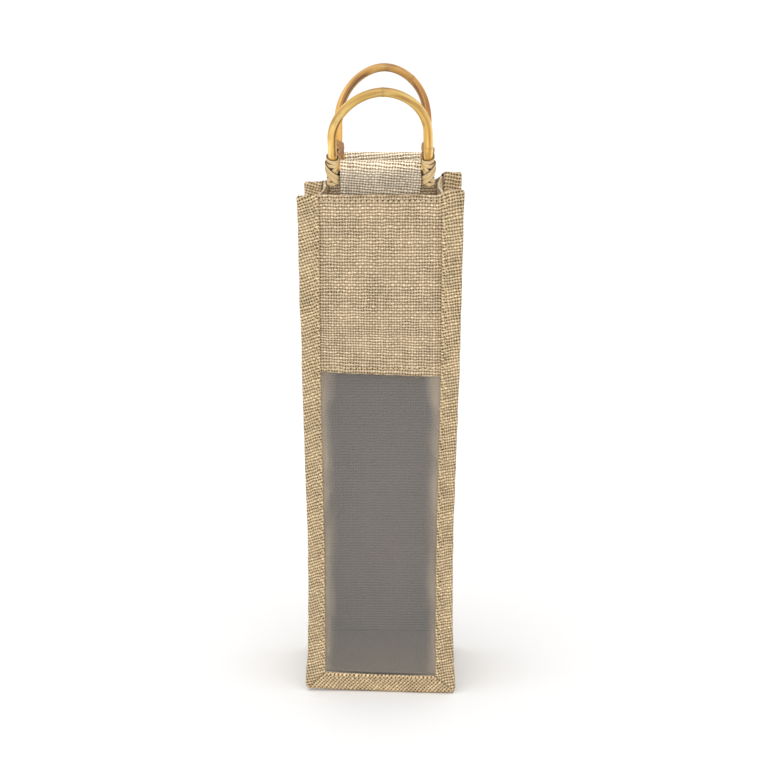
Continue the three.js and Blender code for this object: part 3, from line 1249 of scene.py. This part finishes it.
    def build_side_binding(self, side: Side, face: Face) -> Object:
        """Makes the strip round one upright fin."""
        line = self.strip_line(self.STRIP_WIDTH)
        name = f"{face.label}_{side.label}_binding"
        height = self.rim - 1.2
        piece = cloth(
            name + "_cloth", line.rows,
            np.concatenate([np.linspace(0, 0.985, 190), np.linspace(0.9865, 1, 10)]).tolist(),
            self.side_place(side, face, line), self.palette.binding[side], self.palette.lining,
            turned=side.value * face.value > 0,
        )
        return self.sew(piece, [name], (line.length, height))

    def build_foot_binding(self, face: Face) -> Object:
        """Makes the strip round the lowest fin, on whose fold the bag stands."""
        line = self.strip_line(self.FOOT_WIDTH)
        name = f"{face.label}_bottom_binding"
        low, high = corners(name)
        inner_half = self.seam(0) - 0.6

        def place(u: float, v: float) -> Placed:
            s, d = line.at(u)
            share = min(1.0, s / self.FOOT_WIDTH)
            z = (high.z - s) * (1.0 if d < 2 else 0.93)
            half = inner_half + (high.x + 1.2 - inner_half) * share
            if z < 1.6:
                half = min(half, 49.0 + (high.x - 48.0) * math.sqrt(max(0.0, z) / 1.6))
            x = v * half
            d += self.TUCK * (1 - smoothstep(half - abs(x), 0, 1.6)) if d < 2 else 0.0
            swell = 0.25 * ripple(x / 12, face.value, 5.0) * (1 - share)
            at = self.warp(x, self.depth(face, d + swell), z)
            return Vector((at.x, at.y, max(at.z, PLY / 2))), (u, x + high.x)

        piece = cloth(
            name + "_cloth", line.rows, spread(-1, 1, 0.03), place, self.palette.foot,
            self.palette.lining, turned=face is Face.BACK,
        )
        length = 2 * high.x
        return self.sew(
            piece, [name], (line.length, length),
        )

    def build(self) -> list[Object]:
        """Sews the whole bag.

        Returns:
            Its pieces of cloth and its window.
        """
        pieces = [self.build_panel(face) for face in Face]
        pieces += [self.build_gusset(side) for side in Side]
        pieces.append(self.build_floor())
        pieces.append(self.build_window())
        for face in Face:
            pieces += [self.build_side_binding(side, face) for side in Side]
            pieces.append(self.build_foot_binding(face))
        return pieces


# --------------------------------------------------------------------------------- tabs and handles


@dataclass(frozen=True)
class HandleSizes:
    """Sizes of a bent cane handle, from the middle of its crossbar.

    Args:
        cane: radius of the cane.
        half: from the middle to each leg.
        drop: how far the legs run below the crossbar.
        rise: the straight part of a leg above it.
        shoulder: height that pulls each bend out over its leg.
        crown_half: half width of the nearly flat crown.
        arch: height of the crown.
        lift: how far the whole bent cane is shifted up on its crossbar.
        lean: how far the crown is bent to the right.
        strip: width of a rattan strip.
        strip_thickness: thickness of a rattan strip.
        rings: the cane's nodes, as shares of its length.
        splits: from where to where it is split, as shares of its length.
        split_turn: where the split is round the cane, in degrees from its outer side.
    """

    cane: float = 3.0
    half: float = 31.3
    drop: float = 13.5
    rise: float = 22.0
    shoulder: float = 46.5
    crown_half: float = 14.0
    arch: float = 60.6
    lift: float = 0.0
    lean: float = 2.2
    strip: float = 3.5
    strip_thickness: float = 0.95
    rings: tuple = (0.135, 0.505, 0.83)
    splits: tuple = ((0.10, 0.33),)
    split_turn: float = 50.0


# The rear cane sits higher on its crossbar and is bent less to the right.
HANDLES = {
    End.FRONT: HandleSizes(),
    End.REAR: HandleSizes(
        lift=3.5, lean=0.9, rings=(0.21, 0.62), splits=((0.21, 0.45), (0.62, 0.84)), split_turn=222.0
    ),
}


class Handle:
    """One bent cane with its crossbar and the rattan that lashes them together."""

    END_ROUND = 2.2  # length over which the cane's ends are rounded
    RING_RISE = 0.045  # as a share of the cane's radius
    LUMPS = 0.035
    SPLIT_DEPTH = 0.75
    SPLIT_WIDTH = math.radians(21)
    SPLIT_FADE = 0.04  # as a share of the cane's length
    CORE_ENDS = (-13.2, 7.0)  # the dark glue core under the rattan, on the leg, which also paints the shade in the gaps between the turns
    CORE_DEPTH = 0.12
    # Each turn of the rattan: height on the leg, rise towards its outer side, distance from the leg.
    TURNS = (
        (-1.6, -4.9, 0.30),
        (-5.9, -5.0, 0.34),
        (6.2, 0.9, 0.30),
        (3.2, -0.6, 0.42),
        (-12.0, -0.8, 0.30),
        (-3.2, 5.3, 1.15),
        (-7.2, 5.2, 1.2),
    )

    def __init__(self, end: End, palette: Palette, sizes: HandleSizes) -> None:
        """Works out the handle's own axes from the frame.

        Args:
            end: front or rear.
            palette: the finishes.
            sizes: the handle's sizes.
        """
        self.end = end
        self.palette = palette
        self.sizes = sizes
        self.body = end.label + "_handle"
        low, high = corners(end.label + "_crossbar")
        self.centre = (low + high) / 2
        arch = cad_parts[end.label + "_handle_arch"].data.vertices
        crown = [v.co / MM for v in arch if abs(v.co.x / MM) < self.sizes.cane]
        middle = sum(crown, Vector()) / len(crown)
        self.up = Vector((0, middle.y - self.centre.y, middle.z - self.centre.z)).normalized()
        self.right = Vector((1, 0, 0))
        self.out = self.up.cross(self.right) * (1 if end is End.FRONT else -1)
        if self.out.y * end.value < 0:
            self.out = -self.out

    def at(self, x: float, height: float, out: float = 0.0) -> Vector:
        """A point from its places across, up and outward on the handle."""
        return self.centre + self.right * x + self.up * height + self.out * out

    def arch_line(self) -> list[tuple[float, float]]:
        """The middle of the bent cane, from the left foot over to the right."""
        k = self.sizes
        leg = [(-k.half, h) for h in np.linspace(-k.drop, k.rise, 22)]
        bend = []
        for t in np.linspace(0, 1, 34)[1:]:
            x = -k.half * ((1 - t) ** 3 + 3 * t * (1 - t) ** 2) - k.crown_half * 3 * t * t * (1 - t)
            h = k.rise * (1 - t) ** 3 + k.shoulder * 3 * t * (1 - t) ** 2
            h += k.arch * (3 * t * t * (1 - t) + t**3)
            bend.append((x, h))
        left = leg + bend
        whole = left + [(-x, h) for x, h in reversed(left[:-1])]
        return [(x + k.lean * smoothstep(h, k.rise, k.arch), h) for x, h in whole]

    def build_arch(self) -> Object:
        """Bends the cane: never quite round, with a ring at each node and a split along it."""
        line = self.arch_line()
        path = [self.at(x, h + self.sizes.lift) for x, h in line]
        lengths = np.concatenate([[0], np.cumsum([(b - a).length for a, b in zip(path, path[1:])])])
        rings, splits = self.sizes.rings, self.sizes.splits
        split_turn = math.radians(self.sizes.split_turn)
        sides = 28

        def section(i: int) -> Outline:
            share = lengths[i] / lengths[-1]
            ring = max(math.exp(-(((share - r) * lengths[-1]) / 0.9) ** 2) for r in rings)
            to_end = min(lengths[i], lengths[-1] - lengths[i])
            taper = math.sqrt(1 - max(0.0, 1 - to_end / self.END_ROUND) ** 2 * 0.75)
            outline = []
            for k in range(sides):
                a = 2 * math.pi * k / sides
                lump = ripple(math.cos(a), math.sin(a), share * 9 + self.end.value)
                radius = self.sizes.cane * (0.985 + self.LUMPS * lump + self.RING_RISE * ring)
                in_split = max(
                    smoothstep(share, low, low + self.SPLIT_FADE)
                    * (1 - smoothstep(share, high - self.SPLIT_FADE, high))
                    for low, high in splits
                )
                off = math.remainder(a - split_turn, 2 * math.pi) / self.SPLIT_WIDTH
                groove = in_split * math.exp(-off * off)
                radius = (radius - self.SPLIT_DEPTH * groove) * taper
                # The split's groove is painted fully dark as the shade in it; the node rings and cut ends
                # are real marks.
                scar_and_shade = min(1.0, 0.28 * ring + groove + 0.5 * max(0.0, 1 - to_end / 1.5))
                outline.append((radius * math.cos(a), radius * math.sin(a), scar_and_shade))
            return outline

        cane = Sweep()
        cane.add(path, [self.out] * len(path), section)
        piece = cane.made(self.end.label + "_cane_arch", [self.palette.cane[self.end]])
        return self.fix(piece, self.end.label + "_handle_arch")

    def build_crossbar(self) -> Object:
        """Makes the straight cane that the tab turns on."""
        _, high = corners(self.end.label + "_crossbar")
        half = high.x
        path = [self.at(x, 0) for x in spread(-half, half, 2.0)]

        def section(i: int) -> Outline:
            last = 0.9 if i in (0, len(path) - 1) else 1.0
            return round_section(self.sizes.cane * last)

        cane = Sweep()
        cane.add(path, [self.out] * len(path), section)
        piece = cane.made(self.end.label + "_cane_crossbar", [self.palette.cane[self.end]])
        return self.fix(piece, self.end.label + "_crossbar")

    def build_lashing(self, side: Side) -> Object:
        """Winds the rattan over one joint: flat turns above and below, and slanted ones across."""
        k = self.sizes
        lashing = Sweep()
        # A dark core of glue round the leg, which also stands in for the shade seen in the gaps between the
        # turns.
        core = [self.at(side.value * k.half, h + k.lift) for h in spread(*self.CORE_ENDS, 1.5)]
        lashing.add(core, [self.out] * len(core), lambda i: round_section(k.cane + self.CORE_DEPTH), kind=1)
        half_width, half_thickness = k.strip / 2, k.strip_thickness / 2
        for number, (height, tilt, stand) in enumerate(self.TURNS):
            path, normals = [], []
            for step in range(40):
                a = 2 * math.pi * step / 40
                outward = self.out * math.cos(a) + self.right * side.value * math.sin(a)
                lump = 0.12 * ripple(math.cos(a), math.sin(a), number * 3.7)
                radius = k.cane + stand + half_thickness + lump
                rise = height + k.lift + tilt * math.sin(a) + 2 * lump
                middle = self.at(side.value * k.half, rise)
                path.append(middle + outward * radius)
                normals.append(outward)

            def section(i: int) -> Outline:
                outline = []
                for j in range(12):
                    b = 2 * math.pi * j / 12
                    c, s = math.cos(b), math.sin(b)
                    wide = half_width * math.copysign(abs(s) ** 0.6, s)
                    thick = half_thickness * math.copysign(abs(c) ** 0.8, c)
                    # The strip's edges are marked for darkening: partly browning, partly painted shade
                    # between the turns.
                    outline.append((thick, wide, smoothstep(abs(s), 0.62, 0.93)))
                return outline

            lashing.add(path, normals, section, closed=True)
        piece = lashing.made(
            f"{self.end.label}_{side.label}_rattan_lashing",
            [self.palette.rattan[self.end], self.palette.glue],
        )
        return self.fix(piece, f"{self.end.label}_{side.label}_lashing")

    def fix(self, piece: Object, node: str) -> Object:
        """Puts a piece on this handle's body in place of its CAD node."""
        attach(piece, self.body)
        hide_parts(node)
        log.info("%s rides on %s", piece.name, self.body)
        return piece

    def build(self) -> None:
        """Makes the whole handle and gives its pins their wire finish."""
        self.build_arch()
        self.build_crossbar()
        for side in Side:
            self.build_lashing(side)
            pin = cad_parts[f"{self.end.label}_{side.label}_pin"]
            pin.data.materials.clear()
            pin.data.materials.append(self.palette.steel)


class Tab:
    """The folded jute that holds one crossbar and is sewn inside the bag's hem."""

    SEWN = 13.0  # how far it goes down inside the hem
    CLEAR = 0.3  # between the sleeve and the cane
    NECK = 2.5  # height above the rim where its layers part
    GAP = 0.04  # half the gap between its layers
    HEM_GAP = 0.25  # room between the panel and its outer layer
    BEND = 6.0  # height above the rim over which it bends

    def __init__(self, end: End, bag: Bag, handle: Handle) -> None:
        """Takes its places from the bag's hem and the handle's crossbar."""
        self.end = end
        self.bag = bag
        self.handle = handle
        _, high = corners(end.label + "_tab")
        self.half = high.x
        panel = corners("front_upper_panel" if end is End.FRONT else "back_panel")
        inner = panel[1].y if end is End.FRONT else panel[0].y
        self.root = inner - end.value * (PLY + self.HEM_GAP)  # between the tab's two layers

    def line(self) -> Line:
        """The way the cloth goes: up the outer side, over the crossbar, down the inner side."""
        cy, cz = self.handle.centre.y, self.handle.centre.z
        out = self.end.value
        rim = self.bag.rim
        apart = PLY / 2 + self.GAP
        radius = self.handle.sizes.cane + self.CLEAR + PLY / 2
        neck = rim + self.NECK
        slope = math.atan2((cy - self.root) * out, cz - neck)
        reach = math.hypot(cy - self.root, cz - neck)
        open_angle = math.asin((radius - apart) / reach)
        # Angles on the circle, from the outward direction up over the top to the inner side.
        start = -(slope - open_angle)
        end = math.pi - (slope + open_angle)
        over = [
            (cy + out * radius * math.cos(a), cz + radius * math.sin(a))
            for a in np.linspace(start, end, 19)
        ]
        outer = [(self.root + out * apart, rim - self.SEWN), (self.root + out * apart, neck)]
        inner = [(self.root - out * apart, neck), (self.root - out * apart, rim - self.SEWN)]
        line = Line([*outer, *over, *inner], step=1.0)
        line.points = soften(line, rounds=10)
        line.__post_init__()
        return line

    def build(self) -> Object:
        """Makes the tab, which bends over the bag's rim and round the crossbar."""
        line = self.line()
        palette = self.bag.palette
        out = self.end.value

        def place(u: float, v: float) -> Placed:
            y, z = line.at(v)
            free = smoothstep(z, self.bag.rim, self.bag.rim + 7)
            droop = 0.6 * ripple(u / 15, z / 12, out * 4.4) * free
            if z > self.handle.centre.z:
                droop = 0.0
            wide = 1 + 0.018 * ripple(v / 9, out, 8.0 + math.copysign(3.1, u))
            return Vector((u * wide, y + out * droop, z)), (u + self.half, v - line.length / 2)

        piece = cloth(
            self.end.label + "_tab_cloth", spread(-self.half, self.half, 1.5), line.rows, place,
            palette.tab, palette.tab, turned=self.end is End.REAR,
        )
        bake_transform(piece)
        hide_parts(self.end.label + "_tab")
        log.info("%s: cut %.0f by %.0f mm", piece.name, 2 * self.half, line.length)
        return piece


def soften(line: Line, rounds: int) -> list[tuple[float, float]]:
    """Eases the corners of a line by averaging neighbours, and keeps its ends."""
    points = np.array([line.at(row) for row in line.rows])
    for _ in range(rounds):
        points[1:-1] = (points[:-2] + 2 * points[1:-1] + points[2:]) / 4
    return [tuple(p) for p in points.tolist()]


# ---------------------------------------------------------------------------- stitches and fibres


def stitch_tree() -> NodeTree:
    """Builds the nodes that sew lock stitches along a line of edges.

    Returns:
        A tree with inputs Spacing, Half length, Thread radius, Thread and Hole shade, the finish of the
        dark spheres painted as shade in the needle holes.
    """
    tree, given = new_group(
        "lock stitches", "Geometry",
        {"Geometry": "Geometry", "Spacing": "Float", "Half length": "Float",
         "Thread radius": "Float", "Thread": "Material", "Hole shade": "Material"},
        {"Geometry": "Geometry"},
    )
    curve = add(tree, "GeometryNodeMeshToCurve", {"Mesh": given.outputs["Geometry"]})
    evened = add(
        tree, "GeometryNodeResampleCurve", {"Curve": curve, "Length": given.outputs["Spacing"]},
        mode="LENGTH",
    )
    tangent = add(tree, "GeometryNodeInputTangent")
    ahead = add(tree, "FunctionNodeAlignRotationToVector", {"Vector": tangent}, axis="Z")
    radius, half = given.outputs["Thread radius"], given.outputs["Half length"]
    shift = add(tree, "VectorMath", {0: tangent, "Scale": half}, operation="SCALE")
    spots = add(tree, "GeometryNodeSetPosition", {"Geometry": evened, "Offset": shift})
    half_gap = add(tree, "Math", {0: radius, 1: 1.5}, operation="MULTIPLY")
    ball = add(tree, "GeometryNodeMeshUVSphere", {"Segments": 8, "Rings": 5, "Radius": 1.0})
    parts = []
    # Each stitch gets a dark sphere at its end, painted as the shade in the needle hole.
    for where, size, turns, material, seed in (
        (evened, (radius, radius, half), ahead, "Thread", 3),
        (spots, (half_gap, half_gap, half_gap), None, "Hole shade", 8),
    ):
        scale = add(tree, "CombineXYZ", dict(enumerate(size)))
        sized = add(tree, "GeometryNodeTransform", {"Geometry": ball, "Scale": scale})
        smooth = add(tree, "GeometryNodeSetShadeSmooth", {"Geometry": sized})
        chance = add(tree, "FunctionNodeRandomValue", {2: 0.85, 3: 1.15, "Seed": seed}, data_type="FLOAT")
        inputs = {"Points": where, "Instance": smooth, "Scale": chance.outputs[1]}
        if turns:
            inputs["Rotation"] = turns
        placed = add(tree, "GeometryNodeInstanceOnPoints", inputs)
        real = add(tree, "GeometryNodeRealizeInstances", {"Geometry": placed})
        parts.append(
            add(tree, "GeometryNodeSetMaterial", {"Geometry": real, "Material": given.outputs[material]}),
        )
    joined = add(tree, "GeometryNodeJoinGeometry")
    for part in parts:
        tree.links.new(part.outputs[0], joined.inputs[0])
    add(tree, "NodeGroupOutput", {"Geometry": joined})
    return tree


def fibre_tree() -> NodeTree:
    """Builds the nodes that let loose fibres stand out of a cloth.

    Returns:
        A tree with inputs Density, Length, Radius, Seed and Material.
    """
    tree, given = new_group(
        "loose fibres", "Geometry",
        {"Geometry": "Geometry", "Density": "Float", "Length": "Float", "Radius": "Float",
         "Seed": "Int", "Material": "Material"},
        {"Geometry": "Geometry"},
    )
    points = add(
        tree, "GeometryNodeDistributePointsOnFaces",
        {
            "Mesh": given.outputs["Geometry"], "Density": given.outputs["Density"],
            "Seed": given.outputs["Seed"],
        },
    )
    hair = add(
        tree, "GeometryNodeCurveQuadraticBezier",
        {"Resolution": 5, "Start": (0, 0, -0.05), "Middle": (0.35, 0, 0.25), "End": (0.9, 0.2, 0.2)},
    )
    thin = add(tree, "Math", {0: given.outputs["Radius"], 1: given.outputs["Length"]}, operation="DIVIDE")
    ring = add(tree, "GeometryNodeCurvePrimitiveCircle", {"Resolution": 3, "Radius": thin})
    tube = add(tree, "GeometryNodeCurveToMesh", {"Curve": hair, "Profile Curve": ring, "Fill Caps": True})
    lean = add(
        tree, "FunctionNodeRandomValue", {0: (-0.5, -0.5, 0.0), 1: (0.5, 0.5, 2 * math.pi), "Seed": 5},
        data_type="FLOAT_VECTOR",
    )
    leaning = add(tree, "FunctionNodeEulerToRotation", {0: lean.outputs[0]})
    turned = add(
        tree, "FunctionNodeRotateRotation",
        {"Rotation": points.outputs["Rotation"], "Rotate By": leaning}, rotation_space="LOCAL",
    )
    chance = add(tree, "FunctionNodeRandomValue", {2: 0.4, 3: 1.3, "Seed": 9}, data_type="FLOAT")
    long = add(tree, "Math", {0: chance.outputs[1], 1: given.outputs["Length"]}, operation="MULTIPLY")
    placed = add(
        tree, "GeometryNodeInstanceOnPoints",
        {"Points": points.outputs["Points"], "Instance": tube, "Rotation": turned, "Scale": long},
    )
    real = add(tree, "GeometryNodeRealizeInstances", {"Geometry": placed})
    dressed = add(
        tree, "GeometryNodeSetMaterial", {"Geometry": real, "Material": given.outputs["Material"]}
    )
    add(tree, "NodeGroupOutput", {"Geometry": dressed})
    return tree


def run_tree(piece: Object, tree: NodeTree, values: dict) -> Object:
    """Puts a piece through a node tree with named values and keeps the plain result."""
    modifier = piece.modifiers.new(tree.name, "NODES")
    modifier.node_group = tree
    for socket in tree.interface.items_tree:
        if socket.in_out == "INPUT" and socket.name in values:
            modifier[socket.identifier] = values[socket.name]
    return settle(piece)


@dataclass
class Sewing:
    """The rows of stitches that hold the bag together.

    Args:
        bag: the bag they are sewn through.
        spacing: from one stitch to the next.
        sewn_share: how much of the spacing a stitch shows.
        thread: radius of the thread.
        rim_thread: radius of the thread along the rim.
        half: half width of a row across a face.
        foot_half: half width of a row along the foot.
        from_edge: from a side binding's seam to its row.
        from_foot_edge: from a foot binding's upper edge to its row.
        from_rim: from the rim to its row.
        from_window: from the window's top to the row above it.
    """

    bag: Bag
    spacing: float = 3.5
    sewn_share: float = 0.8
    thread: float = 0.28
    rim_thread: float = 0.34
    half: float = 39.0
    foot_half: float = 38.0
    from_edge: float = 2.7
    from_foot_edge: float = 2.8
    from_rim: float = 3.8
    from_window: float = 9.0

    def binding_rows(self, face: Face) -> list[list[Vector]]:
        """Gives the rows along the inner edges of a face's two side bindings."""
        bag = self.bag
        rows = []
        line = bag.strip_line(bag.STRIP_WIDTH)
        surface = next(r for r in line.rows if line.at(r)[0] >= self.from_edge and line.at(r)[1] < 0)
        for side in Side:
            place = bag.side_place(side, face, line)
            out = Vector((0, face.value * PLY / 2, 0))
            rows.append([place(surface, v)[0] + out for v in np.linspace(0.012, 0.985, 120)])
        return rows

    def hem_row(self, face: Face, below: float) -> list[Vector]:
        """Gives a row across a face, at a distance below the rim."""
        bag = self.bag
        y = bag.depth(face, Bag.PANEL_DEPTH - PLY / 2)
        return [bag.warp(x, y, bag.rim - below) for x in spread(-self.half, self.half, 2.0)]

    def foot_row(self, face: Face) -> list[Vector]:
        """Gives the row along the upper edge of a foot binding."""
        bag = self.bag
        y = bag.depth(face, Bag.STITCHED_DEPTH - PLY / 2)
        z = Bag.FOOT_WIDTH - self.from_foot_edge
        return [bag.warp(x, y, z) for x in spread(-self.foot_half, self.foot_half, 2.0)]

    def build(self) -> None:
        """Sews every row that shows on the bag, with thicker thread along the rim."""
        bag = self.bag
        rows = []
        for face in Face:
            rows += self.binding_rows(face)
            rows.append(self.foot_row(face))
        rows.append(self.hem_row(Face.FRONT, bag.rim - bag.window_top - self.from_window))
        self.sew_rows("seam_stitches", rows, self.thread)
        rim_rows = [self.hem_row(face, self.from_rim) for face in Face]
        self.sew_rows("rim_stitches", rim_rows, self.rim_thread)

    def sew_rows(self, name: str, rows: Sequence[Sequence[Vector]], thread: float) -> None:
        """Sews rows of stitches as one piece.

        Args:
            name: the piece's name.
            rows: the points of each row.
            thread: radius of the thread.
        """
        bag = self.bag
        points = [p for row in rows for p in row]
        edges, base = [], 0
        for row in rows:
            edges += [(base + i, base + i + 1) for i in range(len(row) - 1)]
            base += len(row)
        piece = bare_object(name, [p * MM for p in points], edges)
        run_tree(
            piece, stitch_tree(),
            {
                "Spacing": self.spacing * MM, "Half length": self.spacing / 2 * self.sewn_share * MM,
                "Thread radius": thread * MM, "Thread": bag.palette.thread,
                "Hole shade": bag.palette.needle_hole,
            },
        )
        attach(piece, Bag.BODY)
        log.info("%s: %d rows", piece.name, len(rows))


FIBRE_DENSITY = 9000.0  # to a square metre
FIBRE_LENGTH = 4.5
FIBRE_RADIUS = 0.09
FIBRE_CLEARANCE = 7.0  # no fibre grows lower than this, so that none reaches into the ground


def build_fibres(bag: Bag, pieces: Sequence[Object]) -> Object:
    """Lets a few loose fibres stand out of the bag's jute.

    Args:
        bag: the bag.
        pieces: the cloth that sheds them.

    Returns:
        All the fibres as one piece.
    """
    points, faces = [], []
    for piece in pieces:
        base = len(points)
        points += [v.co.copy() for v in piece.data.vertices]
        faces += [
            tuple(base + i for i in p.vertices)
            for p in piece.data.polygons
            if p.material_index == 0
            and min(piece.data.vertices[i].co.z for i in p.vertices) > FIBRE_CLEARANCE * MM
        ]
    fibres = bare_object("loose_fibres", points, faces=faces)
    run_tree(
        fibres, fibre_tree(),
        {
            "Density": FIBRE_DENSITY, "Length": FIBRE_LENGTH * MM, "Radius": FIBRE_RADIUS * MM, "Seed": 12,
            "Material": bag.palette.fibre,
        },
    )
    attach(fibres, Bag.BODY)
    log.info("%s: %d faces", fibres.name, len(fibres.data.polygons))
    return fibres


# ------------------------------------------------------------------------------------------ studio


@dataclass(frozen=True)
class Studio:
    """A white floor, an even white sky, a soft key light and the camera.

    Args:
        eye: the camera's place from the middle of the bag's foot.
        turn: how far the camera is turned to its left, in degrees.
        dip: how far it looks down, in degrees.
        lens: focal length on a 36 mm sensor.
        sky: strength of the sky.
        key: strength of the soft key light.
        key_angles: its elevation and how far it is to the left, in degrees.
    """

    eye: tuple = (22.0, -1249.0, 514.0)
    turn: float = 1.06
    dip: float = 13.47
    lens: float = 87.2
    sky: float = 1.0
    key: float = 1.15
    key_angles: tuple = (64.0, 16.0)

    def build(self, bag: Bag, palette: Palette) -> None:
        """Sets up the studio round the bag."""
        scene = bpy.context.scene
        scene.view_settings.view_transform = "Standard"
        middle = (bag.front + bag.back) / 2
        data = bpy.data.cameras.new("camera")
        data.lens = self.lens
        data.sensor_width = 36
        camera = bpy.data.objects.new("camera", data)
        camera.location = Vector((self.eye[0], self.eye[1] + middle, self.eye[2])) * MM
        camera.rotation_euler = (math.radians(90 - self.dip), 0, math.radians(self.turn))
        scene.collection.objects.link(camera)
        scene.camera = camera

        world = bpy.data.worlds.new("white sky")
        world.use_nodes = True
        scene.world = world
        sky = world.node_tree.nodes["Background"]
        sky.inputs["Color"].default_value = linear("ffffff")
        sky.inputs["Strength"].default_value = self.sky

        sun = bpy.data.lights.new("key", "SUN")
        sun.energy = self.key
        sun.angle = math.radians(80)
        key = bpy.data.objects.new("key", sun)
        elevation, left = self.key_angles
        key.rotation_euler = (math.radians(90 - elevation), 0, math.radians(-left))
        scene.collection.objects.link(key)

        reach = 60000
        around = [(-reach, -reach, 0), (reach, -reach, 0), (reach, reach, 0), (-reach, reach, 0)]
        floor = mesh_object("studio_floor", around, [(0, 1, 2, 3)], [palette.floor])


def main() -> None:
    """Builds the bag, its handles and the studio, and reports each piece."""
    logging.basicConfig(level=logging.INFO, format="%(message)s")
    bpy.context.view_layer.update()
    palette = Palette.mixed()
    bag = Bag(BagShape(), palette)
    pieces = bag.build()
    for end in End:
        handle = Handle(end, palette, HANDLES[end])
        handle.build()
        Tab(end, bag, handle).build()
    Sewing(bag).build()
    build_fibres(bag, [p for p in pieces if "film" not in p.name and "bottom_gusset" not in p.name])
    Studio().build(bag, palette)


if __name__ == "__main__":
    main()
